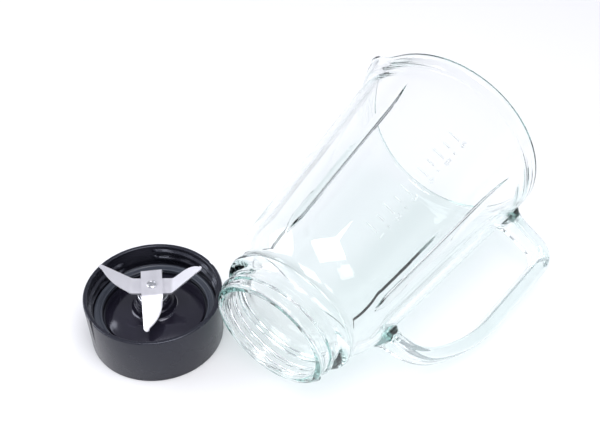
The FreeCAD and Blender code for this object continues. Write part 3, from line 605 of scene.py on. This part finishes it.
wire(mix_mask.outputs["Value"], brushed_out.inputs["Mask"])
wire(line_bump.outputs["Normal"], brushed_out.inputs["Normal"])


def metal(name, low, high, stretch, depth, rough, turn=0.0):
    """A metal whose fine lines are drawn out along one direction of the piece."""
    made, tree, shader = material(name, Metallic=1.0)
    skin = grouped(tree, brushed, Stretch=stretch, Depth=depth, Rough=rough)
    if turn:
        spot = next(node for node in tree.nodes if node.bl_idname == "ShaderNodeTexCoord")
        slant = placed(tree, "Mapping", Rotation=(0, 0, math.radians(turn)))
        tree.links.new(spot.outputs["Object"], slant.inputs["Vector"])
        tree.links.new(slant.outputs["Vector"], skin.inputs["Vector"])
    between(tree, skin.outputs["Mask"], low, high, shader.inputs["Base Color"])
    tree.links.new(skin.outputs["Rough"], shader.inputs["Roughness"])
    tree.links.new(skin.outputs["Normal"], shader.inputs["Normal"])
    return made


zinc = metal(
    "zinc_plate", (0.42, 0.42, 0.40), (0.66, 0.66, 0.62),
    stretch=(900.0, 900.0, 900.0), depth=0.10, rough=0.34,
)
nitrile = moulded_material(
    "nitrile", (0.014, 0.014, 0.014), (0.03, 0.03, 0.03),
    grain=1500.0, depth=0.3, rough=0.55, rubs=0.1,
)
dressed(frame["nodes"]["carrier_screws"], zinc)
dressed(frame["nodes"]["carrier_o_ring"], nitrile)


# ---- Bearing tube, bushes and lip seal ------------------------------------------------------
# The turned brass tube, its two oiled bronze bushes and the nitrile lip seal sit inside the boss.
# They keep the shape that the frame gives them, since next to nothing of them can be seen.
brass = metal(
    "turned_brass", (0.60, 0.44, 0.17), (0.83, 0.66, 0.34),
    stretch=(300.0, 300.0, 9000.0), depth=0.08, rough=0.26,
)
bronze = metal(
    "oiled_bronze", (0.30, 0.18, 0.09), (0.52, 0.34, 0.18),
    stretch=(2500.0, 2500.0, 2500.0), depth=0.3, rough=0.42,
)
for node, finish, slot in (
    ("bearing_tube", brass, "brass"),
    ("upper_bush", bronze, "bronze"),
    ("lower_bush", bronze, "bronze"),
    ("shaft_lip_seal", nitrile, "inner_rubber"),
):
    dressed(frame["nodes"][node], finish)


# ---- Seal cap -------------------------------------------------------------------------------
# The bright ring on the boss: a cap pressed from thin stainless sheet, rolled over at the top, that
# is pushed down over the tube.
CAP_R = 9.84
CAP_HOLE_R = 5.0
CAP_SHEET = 0.8
cap_foot, cap_top = (corner.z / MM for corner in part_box("seal_cap"))
cap = turned("bright_cap", rounded([
    (CAP_HOLE_R, cap_top - CAP_SHEET, 0.2),
    (CAP_HOLE_R, cap_top, 0.35),
    (CAP_R, cap_top, 0.75),
    (CAP_R, cap_foot, 0.15),
    (CAP_R - CAP_SHEET, cap_foot, 0.15),
    (CAP_R - CAP_SHEET, cap_top - CAP_SHEET, 0.2),
]), steps=128)
smooth(cap)
stainless = metal(
    "stainless", (0.55, 0.55, 0.58), (0.80, 0.80, 0.83),
    stretch=(400.0, 400.0, 9000.0), depth=0.06, rough=0.18,
)
dressed(cap, stainless)
dressed(frame["nodes"]["seal_cap"], stainless)
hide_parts("seal_cap")
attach(cap, "base")


# ---- Shaft, washers, circlip and spacer -----------------------------------------------------
# The turned stainless shaft runs through everything. Its lower end shows under the coupling, and
# its head is peened over the blades: a low dome with a ring struck in it and a small centre mark.
SHAFT_R = 4.0
HEAD_R = 3.4
SPACER_R = 6.5
SPIGOT_R = 2.6
HEAD_RISE = 1.0
BORE_FIT = 0.02           # play of the spacer and the washer on the shaft
head_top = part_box("blade_shaft")[1].z / MM
blade_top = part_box("blade_shaft")[1].z / MM - HEAD_RISE
head = turned("peened_head", [
    (SPIGOT_R - 0.3, blade_top - 0.5),
    (HEAD_R - 0.15, blade_top - 0.02),
    (HEAD_R, blade_top + 0.18),
    (HEAD_R - 0.12, blade_top + 0.5),
    (HEAD_R - 0.55, blade_top + 0.86),
    (HEAD_R - 1.1, head_top - 0.02),
    (HEAD_R - 1.35, head_top - 0.12),
    (HEAD_R - 1.5, head_top - 0.34),
    (HEAD_R - 1.75, head_top - 0.40),
    (HEAD_R - 2.0, head_top - 0.22),
    (0.9, head_top - 0.10),
    (0.6, head_top - 0.14),
    (0.35, head_top - 0.42),
    (0.0, head_top - 0.50),
], steps=64, closed=False)
# The open underside, which sits in the blade, is closed with one face.
bpy.ops.object.mode_set(mode="EDIT")
bpy.ops.mesh.select_all(action="DESELECT")
bpy.ops.mesh.select_non_manifold()
bpy.ops.mesh.edge_face_add()
bpy.ops.mesh.select_all(action="SELECT")
bpy.ops.mesh.normals_make_consistent(inside=False)
bpy.ops.object.mode_set(mode="OBJECT")
smooth(head, 50.0)
spacer_foot, spacer_head = (corner.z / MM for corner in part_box("blade_spacer"))
spacer = turned("steel_spacer", rounded([
    (SHAFT_R + BORE_FIT, spacer_foot, 0.2),
    (SPACER_R, spacer_foot, 0.3),
    (SPACER_R, spacer_head, 0.3),
    (SHAFT_R + BORE_FIT, spacer_head, 0.2),
]), steps=96)
smooth(spacer)
washer_foot, washer_head = (corner.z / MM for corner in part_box("upper_thrust_washer"))
WASHER_R = 8.5
washer = turned("steel_washer", rounded([
    (SHAFT_R + BORE_FIT, washer_foot, 0.1),
    (WASHER_R, washer_foot, 0.25),
    (WASHER_R, washer_head, 0.25),
    (SHAFT_R + BORE_FIT, washer_head, 0.1),
]), steps=96)
smooth(washer)
for piece, node in ((spacer, "blade_spacer"), (washer, "upper_thrust_washer")):
    dressed(piece, stainless)
    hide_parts(node)
    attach(piece, "rotor")
dressed(head, stainless)
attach(head, "rotor")
for node in ("blade_shaft", "blade_spacer", "upper_thrust_washer", "lower_thrust_washer", "circlip"):
    dressed(frame["nodes"][node], stainless)


# ---- Blades ---------------------------------------------------------------------------------
# Two blades stamped from 1.2 mm stainless strip: the lower one has its wings bent up, the upper one
# lies across it with its wings bent down. Each wing's bowed edge is ground to a bright bevel.
BLADE_THICKNESS = 1.2
BLADE_REACH = 32.2
BLADE_ANGLE = 36.9
CROSS_ANGLE = 97.0
TIP_WIDTH = 3.6
EDGE_BULGE = 2.4
BULGE_FULLNESS = 6.4      # how full the bowed edge is, and how far out along the wing
BULGE_OUTWARD = 1.4
TIP_LEAST = 0.03          # keeps the round tip from closing to a point
GRIND_WIDTH = 1.5
GRIND_LEFT = 0.25         # share of the thickness left at a ground edge
GRIND_START = 3.0
BEND_EASE = 1.6
LOWER_WIDTH = 13.0
UPPER_WIDTH = 13.3
UPPER_TIP = (TIP_WIDTH - UPPER_WIDTH) / 2
LOWER_BACK = (13.0, BLADE_REACH, 36.0, -4.5)      # flat, reach, slope and middle of the tip
LOWER_FRONT = (13.0, BLADE_REACH, 36.0, 2.2)
UPPER_BACK = (13.3, BLADE_REACH - 6.2, -50.0, UPPER_TIP)
UPPER_FRONT = (9.7, BLADE_REACH - 2.0, -25.0, UPPER_TIP)


def wing_edges(along, wing, width):
    """The straight and the bowed edge of a wing at a distance along it, across the strip."""
    flat, reach, _, tip = wing
    round_start = reach - TIP_WIDTH / 2
    share = min(1.0, max(0.0, (along - flat) / (round_start - flat)))
    straight = -width / 2 + (tip - TIP_WIDTH / 2 + width / 2) * share
    bowed = width / 2 + (tip + TIP_WIDTH / 2 - width / 2) * share
    bowed += BULGE_FULLNESS * EDGE_BULGE * share ** BULGE_OUTWARD * (1 - share)
    if along > round_start:
        past = min(1.0, (along - round_start) / (TIP_WIDTH / 2))
        half = TIP_WIDTH / 2 * math.sqrt(max(TIP_LEAST, 1 - past * past))
        straight, bowed = tip - half, tip + half
    return straight, bowed


def blade(name, back, front, width, foot, angle):
    """A strip divided along and across, cut to its plan, ground along its edges and bent."""
    bpy.ops.object.select_all(action="DESELECT")
    bpy.ops.mesh.primitive_grid_add(x_subdivisions=160, y_subdivisions=24, size=2 * MM)
    piece = bpy.context.object
    piece.name = name

    def cut_to_plan(point):
        share_along = point.x / MM
        wing, side = (back, -1) if share_along < 0 else (front, 1)
        along = share_along * wing[1]
        straight, bowed = wing_edges(abs(along), wing, width)
        share = (point.y / MM * side + 1) / 2
        return Vector((along, side * (straight + (bowed - straight) * share), 0)) * MM

    moved(piece, cut_to_plan)
    applied(piece, "SOLIDIFY", thickness=BLADE_THICKNESS * MM, offset=1.0)

    def ground_and_bent(point):
        along, across, up_by = point / MM
        wing, side = (back, -1) if along < 0 else (front, 1)
        flat, _, slope, _ = wing
        _, bowed = wing_edges(abs(along), wing, width)
        ground = 1 - min(1.0, abs(bowed - across * side) / GRIND_WIDTH)
        thin = 1 - (1 - GRIND_LEFT) * ground * eased((abs(along) - flat) / GRIND_START)
        if slope > 0:
            up_by = BLADE_THICKNESS - (BLADE_THICKNESS - up_by) * thin
        else:
            up_by = up_by * thin
        past = abs(along) - flat
        eased_past = past if past > BEND_EASE else max(0.0, past + BEND_EASE) ** 2 / (4 * BEND_EASE)
        lean = math.radians(slope) * eased((past + BEND_EASE) / (2 * BEND_EASE))
        along -= math.copysign(math.sin(lean) * (up_by - BLADE_THICKNESS / 2), along)
        level = BLADE_THICKNESS / 2 + (up_by - BLADE_THICKNESS / 2) * math.cos(lean)
        climb = math.tan(math.radians(slope)) * eased_past
        return Vector((along, across, foot + level + climb)) * MM

    moved(piece, ground_and_bent)
    bpy.ops.object.mode_set(mode="EDIT")
    bpy.ops.mesh.select_all(action="SELECT")
    bpy.ops.mesh.normals_make_consistent(inside=False)
    bpy.ops.object.mode_set(mode="OBJECT")
    turned_by(piece, angle)
    smooth(piece, 30.0)
    return piece


lower_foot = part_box("lower_blade")[0].z / MM
upper_foot = lower_foot + BLADE_THICKNESS
upper_turn = BLADE_ANGLE + CROSS_ANGLE + 180
lower = blade("lower_cutter", LOWER_BACK, LOWER_FRONT, LOWER_WIDTH, lower_foot, BLADE_ANGLE)
upper = blade("upper_cutter", UPPER_BACK, UPPER_FRONT, UPPER_WIDTH, upper_foot, upper_turn)
for piece, node, turn in ((lower, "lower_blade", BLADE_ANGLE), (upper, "upper_blade", upper_turn)):
    ground_steel = metal(
        "ground_steel_" + node, (0.60, 0.59, 0.63), (0.84, 0.83, 0.87),
        stretch=(60.0, 5200.0, 5200.0), depth=0.14, rough=0.52, turn=-turn,
    )
    dressed(piece, ground_steel)
    dressed(frame["nodes"][node], ground_steel)
    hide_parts(node)
    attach(piece, "rotor")


# ---- Drive coupling -------------------------------------------------------------------------
# The black nylon coupling under the base, moulded round a brass insert that screws on the shaft.
# Its six lugs are what the motor drives; it keeps the shape that the frame gives it.
coupling_nylon = moulded_material(
    "coupling_nylon", (0.030, 0.030, 0.033), (0.055, 0.055, 0.06),
    grain=1900.0, depth=0.45, rough=0.48, rubs=0.12,
)
dressed(frame["nodes"]["drive_coupling"], coupling_nylon)
dressed(frame["nodes"]["coupling_insert"], brass)


# ---- Glass jug ------------------------------------------------------------------------------
# One pressing in clear soda glass, green where one looks through it edge on: threaded neck, stop
# flange, shoulder, flared body with four ribs inside, thick lip, small beak and a strap handle.
JUG_LENGTH = 204.7
NECK_R = 38.8
NECK_BORE_R = 33.6
NECK_LENGTH = 17.0
FLANGE_R = 45.2
FLANGE_HEIGHT = 5.0
WAIST_R = 43.4
SHOULDER_START = 27.0
SHOULDER_L = 50.0
SHOULDER_R = 53.0
LIP_R = 68.2
LIP_WALL = 6.6
LIP_DEPTH = 9.0
GLASS_WALL = 4.6
INNER_SHOULDER_L = 22.0
SHOULDER_LEAVE = 53.0
INNER_LEAVE = 58.0
SHOULDER_FULLNESS = 1.05
NECK_THREAD_LIFT = 4.2
NECK_THREAD_TURNS = 1.6
NECK_THREAD_FADE = 1.5
NECK_RING_START = 2.0
NECK_RING = 0.30
NECK_RINGS = 48
FLANGE_STEPS = 10
BODY_RINGS = 44
RIB_R = 3.2
RIB_STAND = 2.3
RIB_START = 46.0
RIB_END = 176.7
RIB_GROW = 14.0           # lengths over which a rib rises at its foot and dies out at its top
RIB_DIE = 30.0
RIB_PAST = 4.0
RIB_THIN = 0.45           # share of its radius that a rib keeps at its ends
COLUMN_DRAW = 7.0         # how far the mesh's columns are drawn together at the ribs, in degrees
SPOUT_STAND = 7.2
SPOUT_RISE = 6.0
SPOUT_FOOT = 186.0
SPOUT_SPREAD = 12.0
ROLL = 30.22              # turn about its own axis that sets the jug down on its handle


def wall_r(level):
    """Outside radius of the body between its shoulder and its lip."""
    return SHOULDER_R + (level - SHOULDER_L) * (LIP_R - SHOULDER_R) / (JUG_LENGTH - SHOULDER_L)


def shoulder(neck, level, leave, body, steps=14):
    """Points of the shoulder's curve, from a straight neck out to the body's slope."""
    lean = math.radians(leave)
    flare_slope = (LIP_R - SHOULDER_R) / (JUG_LENGTH - SHOULDER_L)
    reach = math.hypot(body - neck, SHOULDER_L - level) * SHOULDER_FULLNESS
    points = []
    for step in range(1, steps):
        t = step / steps
        h1, h2 = 2 * t**3 - 3 * t**2 + 1, -2 * t**3 + 3 * t**2
        h3, h4 = t**3 - 2 * t**2 + t, t**3 - t**2
        across = h1 * neck + h2 * body + reach * (h3 * math.cos(lean) + h4 * flare_slope)
        high = h1 * level + h2 * SHOULDER_L + reach * (h3 * math.sin(lean) + h4)
        points.append((across, high, 0))
    return points


neck_levels = [NECK_RING_START + NECK_RING * step for step in range(NECK_RINGS)]
flange_points = []
for step in range(1, FLANGE_STEPS):
    lean = math.radians(180 * step / FLANGE_STEPS)
    base_r = NECK_R + (WAIST_R - NECK_R) * step / FLANGE_STEPS
    flange_points.append((
        base_r + (FLANGE_R - (NECK_R + WAIST_R) / 2) * math.sin(lean),
        NECK_LENGTH + FLANGE_HEIGHT * (1 - math.cos(lean)) / 2,
        0,
    ))
inner_shoulder_r = SHOULDER_R - GLASS_WALL
ribbed = RIB_END - RIB_START + 6
body_levels = [RIB_START + ribbed * step / BODY_RINGS for step in range(2, BODY_RINGS + 1)]
inner_body = [(wall_r(level) - GLASS_WALL, level, 0) for level in body_levels]
jug_outline = rounded([
    (NECK_BORE_R, 0, 1.6),
    (NECK_R, 0, 1.8),
    *[(NECK_R, level, 0) for level in neck_levels],
    (NECK_R, NECK_LENGTH, 0.4),
    *flange_points,
    (WAIST_R, NECK_LENGTH + FLANGE_HEIGHT, 0.4),
    (WAIST_R, SHOULDER_START, 0),
    *shoulder(WAIST_R, SHOULDER_START, SHOULDER_LEAVE, SHOULDER_R),
    (SHOULDER_R, SHOULDER_L, 0),
    *[(wall_r(level), level, 0) for level in (75, 100, 125, 150, 170, 180, 185)],
    *[(wall_r(level), level, 0) for level in (187, 189, 191, 193, 195, 197, 199, 201)],
    (LIP_R, JUG_LENGTH, 2.6),
    (LIP_R - LIP_WALL, JUG_LENGTH, 2.6),
    *[(LIP_R - LIP_WALL, JUG_LENGTH - back, 0) for back in (4, 5.5, 7)],
    (LIP_R - LIP_WALL, JUG_LENGTH - LIP_DEPTH, 1.5),
    *[(wall_r(level) - GLASS_WALL - 0.4, level, 0) for level in (192, 189, 186)],
    *reversed(inner_body),
    (inner_shoulder_r, SHOULDER_L, 0),
    *reversed(shoulder(NECK_BORE_R, INNER_SHOULDER_L, INNER_LEAVE, inner_shoulder_r)),
    (NECK_BORE_R, INNER_SHOULDER_L, 0),
    *[(NECK_BORE_R, level, 0) for level in (17, 12, 7)],
], steps=6)
jug = turned("jug", jug_outline, steps=384)


def pressed(point):
    """The plain turned jug with its thread, ribs and beak pressed in."""
    across, level = math.hypot(point.x, point.y) / MM, point.z / MM
    angle = math.degrees(math.atan2(point.y, point.x))
    angle -= COLUMN_DRAW * math.sin(math.radians(4 * (angle - 45)))
    outer = across > wall_r(max(level, SHOULDER_L)) - GLASS_WALL / 2
    if level < NECK_LENGTH and across > NECK_R - 0.05:
        stand = thread_height(angle, level, NECK_THREAD_TURNS, NECK_THREAD_LIFT)
        across += THREAD_DEPTH * stand * eased((NECK_LENGTH - level) / NECK_THREAD_FADE)
    if SHOULDER_START < level < RIB_END + 2 * RIB_PAST and not outer:
        from_rib = math.radians((angle % 90) - 45) * across
        foot = eased((level - RIB_START + RIB_PAST) / RIB_GROW)
        ends = foot * eased((RIB_END + RIB_PAST - level) / RIB_DIE)
        bar_r = RIB_R * (RIB_THIN + (1 - RIB_THIN) * ends)
        inside = bar_r**2 - from_rib**2
        if inside > 0:
            across -= max(0.0, math.sqrt(inside) - (bar_r - RIB_STAND * ends))
    if level > SPOUT_FOOT:
        from_beak = (angle % 360 - 180) / SPOUT_SPREAD
        push = math.exp(-from_beak**2) * eased((level - SPOUT_FOOT) / (JUG_LENGTH - SPOUT_FOOT))
        across += SPOUT_STAND * push
        level += SPOUT_RISE * push
    turn = math.radians(angle)
    return Vector((across * math.cos(turn), across * math.sin(turn), level)) * MM


moved(jug, pressed)

STRAP_WIDTH = 17.0
STRAP_THICKNESS = 8.6
STRAP_ROUND = 3.2
HANDLE_FOOT = 54.0
HANDLE_HEAD = JUG_LENGTH - 17.0
HANDLE_SINK = 2.6
HANDLE_RUN = 15.0
HANDLE_LEAVE = 10.0
HANDLE_BENDS = ((30.0, 45.0, 14), (85.0, 32.0, 14))      # radius, turn and steps of each
TOP_BEND = (12.5, 89.0, 20)
ROOT_FLARE = 0.42         # how much a root is swollen, and how soon that dies out
ROOT_FLARE_REACH = 3.0
ROOT_FLARE_END = 16.0

root = Vector((wall_r(HANDLE_FOOT) - HANDLE_SINK, 0, HANDLE_FOOT))
crown = Vector((wall_r(HANDLE_HEAD) - HANDLE_SINK, 0, HANDLE_HEAD))


def heading(angle):
    """A step along the handle's plane, at an angle up from straight out."""
    return Vector((math.cos(math.radians(angle)), 0, math.sin(math.radians(angle))))


def bend_end(start, angle, radius, turn):
    """Where a left-hand bend from a start at a heading has its middle and its end."""
    middle = start + radius * heading(angle + 90)
    return middle, middle - radius * heading(angle + turn + 90)


bpy.ops.object.select_all(action="DESELECT")
bpy.ops.mesh.primitive_plane_add(
    size=MM, location=root * MM, rotation=(0, math.radians(90 - HANDLE_LEAVE), 0),
)
strap = bpy.context.object
strap.name = "strap"
strap.scale = (STRAP_THICKNESS, STRAP_WIDTH, 1)
bpy.ops.object.transform_apply(location=True, rotation=True, scale=True)
bpy.ops.object.mode_set(mode="EDIT")
bpy.ops.mesh.select_all(action="SELECT")
bpy.ops.mesh.bevel(affect="VERTICES", offset=STRAP_ROUND * MM, segments=7)
bpy.ops.mesh.select_all(action="SELECT")


def extruded(length, angle, steps):
    """The strap's end drawn straight on."""
    for _ in range(steps):
        push = heading(angle) * (length / steps * MM)
        bpy.ops.mesh.extrude_region_move(TRANSFORM_OT_translate={"value": push})


def bent(start, angle, radius, turn, steps):
    """The strap's end drawn round a bend; returns where it gets to."""
    middle, end = bend_end(start, angle, radius, turn)
    bpy.ops.mesh.spin(
        steps=steps, angle=math.radians(turn), center=middle * MM, axis=(0, 1, 0),
    )
    return end


extruded(HANDLE_RUN, HANDLE_LEAVE, 12)
reached = root + HANDLE_RUN * heading(HANDLE_LEAVE)
facing_angle = HANDLE_LEAVE
for radius, turn, steps in HANDLE_BENDS:
    reached = bent(reached, facing_angle, radius, turn, steps)
    facing_angle += turn
top_radius, top_turn, top_steps = TOP_BEND
side_way, back_way = heading(facing_angle), heading(facing_angle + top_turn)
corner = bend_end(Vector((0, 0, 0)), facing_angle, top_radius, top_turn)[1]
# The runs before and after the top bend are as long as it takes to end at the crown.
gap = crown - reached - corner
crossing = side_way.x * back_way.z - side_way.z * back_way.x
side_length = (gap.x * back_way.z - gap.z * back_way.x) / crossing
back_length = (side_way.x * gap.z - side_way.z * gap.x) / crossing
extruded(side_length, facing_angle, 8)
reached = reached + side_length * side_way
bent(reached, facing_angle, top_radius, top_turn, top_steps)
extruded(back_length, facing_angle + top_turn, 12)
bpy.ops.mesh.select_all(action="SELECT")
bpy.ops.mesh.remove_doubles(threshold=WELD)
bpy.ops.mesh.normals_make_consistent(inside=False)
bpy.ops.object.mode_set(mode="OBJECT")


def flared(point):
    """The strap swollen where it runs into the body, as the glass flows there."""
    level = point.z / MM
    if point.x / MM >= wall_r(level) + ROOT_FLARE_END:
        return point
    end = root if level < (HANDLE_FOOT + HANDLE_HEAD) / 2 else crown
    out = point.x / MM - wall_r(level)
    fade = math.exp(-max(0.0, out) / ROOT_FLARE_REACH)
    swell = 1 + ROOT_FLARE * fade * eased(2 * (ROOT_FLARE_END - out) / ROOT_FLARE_END)
    middle = end.z + (out * math.tan(math.radians(HANDLE_LEAVE)) if end is root else 0)
    return Vector((point.x, point.y * swell, (middle + (level - middle) * swell) * MM))


moved(strap, flared)
applied(jug, "BOOLEAN", object=strap, operation="UNION", solver="EXACT")
bpy.data.objects.remove(strap)

lid_seat = next(mount for mount in frame["record"]["mounts"] if mount["name"] == "lid_seat")
jug_axis = Vector(lid_seat["axis"]).normalized()
seat_middle = JUG_LENGTH - lid_seat["dims"]["length_mm"] / 2
neck_rim = Vector(lid_seat["pos_m"]) - jug_axis * seat_middle * MM
tilt = math.asin(jug_axis.z)
lying = (
    Matrix.Translation(neck_rim)
    @ Matrix.Rotation(tilt - math.pi / 2, 4, "X")
    @ Matrix.Rotation(math.radians(ROLL), 4, "Z")
)
jug.data.transform(lying)
smooth(jug, 40.0)

# Light from the lamps and off dull things goes straight through the glass, weaker at its edges.
GLASS_TINT = (0.32, 0.71, 0.66, 1)
GLASS_DEEPENS = 6.0
CLEAR_SHADE = (0.97, 0.985, 0.98, 1)
EDGE_SHADE = (0.50, 0.56, 0.55, 1)
EDGE_START = 0.15
glass, glass_tree, glass_shader = material(
    "pressed_glass", Base_Color=(1, 1, 1, 1), IOR=1.5, Transmission_Weight=1.0,
)
glass_skin = grouped(glass_tree, moulded, Grain=60.0, Depth=0.05, Rough=0.004, Rubs=0.03)
glass_tree.links.new(glass_skin.outputs["Rough"], glass_shader.inputs["Roughness"])
glass_tree.links.new(glass_skin.outputs["Normal"], glass_shader.inputs["Normal"])
green = placed(glass_tree, "VolumeAbsorption", Color=GLASS_TINT, Density=GLASS_DEEPENS)
let_through = placed(glass_tree, "BsdfTransparent")
facing_ratio = placed(glass_tree, "LayerWeight", Blend=0.25)
shade = glass_tree.nodes.new("ShaderNodeValToRGB")
shade.color_ramp.elements[0].color = CLEAR_SHADE
shade.color_ramp.elements[1].color = EDGE_SHADE
shade.color_ramp.elements[0].position = EDGE_START
rays = placed(glass_tree, "LightPath")
either = placed(glass_tree, "Math")
either.operation = "MAXIMUM"
pass_mix = placed(glass_tree, "MixShader")
glass_tree.links.new(facing_ratio.outputs["Facing"], shade.inputs["Fac"])
glass_tree.links.new(shade.outputs["Color"], let_through.inputs["Color"])
glass_tree.links.new(rays.outputs["Is Shadow Ray"], either.inputs[0])
glass_tree.links.new(rays.outputs["Is Diffuse Ray"], either.inputs[1])
glass_tree.links.new(either.outputs["Value"], pass_mix.inputs["Fac"])
glass_tree.links.new(glass_shader.outputs["BSDF"], pass_mix.inputs[1])
glass_tree.links.new(let_through.outputs["BSDF"], pass_mix.inputs[2])
glass_out = glass_tree.nodes["Material Output"]
glass_tree.links.new(pass_mix.outputs["Shader"], glass_out.inputs["Surface"])
glass_tree.links.new(green.outputs["Volume"], glass_out.inputs["Volume"])
dressed(jug, glass)
dressed(frame["nodes"]["glass_jug"], glass)
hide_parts("glass_jug")
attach(jug, "jug")


# ---- Measuring marks ------------------------------------------------------------------------
# Raised lines and plain numbers pressed on the side of the jug, a quarter turn from the handle, with
# a short line and a dash at each half step. They are glass, but frosted, so that they can be read.
TICK_START = 70.0
TICK_STEP = 8.5
TICK_COUNT = 11
TICK_LENGTH = 9.0
TICK_WIDTH = 0.9
TICK_PROUD = 0.35
TICK_THICK = 0.6
HALF_TICK = 0.6           # length of a half step's line, as a share of a whole one's
NUMBER_HEIGHT = 6.5
NUMBER_THICK = 0.25
NUMBER_ROUND = 0.06
NUMBER_GAP = 1.5
NUMBER_PROUD = 0.05
flare_lean = math.atan2(LIP_R - SHOULDER_R, JUG_LENGTH - SHOULDER_L)

marks = []
for index in range(TICK_COUNT):
    level = TICK_START + TICK_STEP * index
    half_step = index % 2
    long = TICK_LENGTH * (HALF_TICK if half_step else 1)
    tick = block("tick", (long, TICK_WIDTH, TICK_THICK), (0, 0, TICK_PROUD - TICK_THICK / 2))
    applied(tick, "BEVEL", width=0.18 * MM, segments=2)
    bpy.ops.object.select_all(action="DESELECT")
    bpy.ops.object.text_add()
    number = bpy.context.object
    number.data.body = "-" if half_step else str(index // 2 + 1)
    number.data.size = NUMBER_HEIGHT * MM
    number.data.extrude = NUMBER_THICK * MM
    number.data.bevel_depth = NUMBER_ROUND * MM
    number.data.align_x = "LEFT"
    number.data.align_y = "CENTER"
    bpy.ops.object.convert(target="MESH")
    number = bpy.context.object
    beside = Vector((TICK_LENGTH / 2 + NUMBER_GAP, 0, NUMBER_PROUD)) * MM
    number.data.transform(Matrix.Translation(beside))
    on_wall = (
        Matrix.Rotation(math.radians(-90), 4, "Z")
        @ Matrix.Translation(Vector((wall_r(level), 0, level)) * MM)
        @ Matrix.Rotation(math.pi / 2 + flare_lean, 4, "Y")
        @ Matrix.Rotation(math.pi / 2, 4, "Z")
    )
    for mark in (tick, number):
        mark.data.transform(lying @ on_wall)
        marks.append(mark)
measure = joined(marks[0], marks[1:])
measure.name = "measuring_marks"
smooth(measure)
frosted, frosted_tree, frosted_shader = material(
    "frosted_glass", Base_Color=(0.93, 0.95, 0.96, 1), IOR=1.3, Transmission_Weight=0.8,
)
frosted_skin = grouped(frosted_tree, moulded, Grain=2500.0, Depth=0.2, Rough=0.38, Rubs=0.1)
frosted_tree.links.new(frosted_skin.outputs["Rough"], frosted_shader.inputs["Roughness"])
frosted_tree.links.new(frosted_skin.outputs["Normal"], frosted_shader.inputs["Normal"])
dressed(measure, frosted)
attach(measure, "jug")
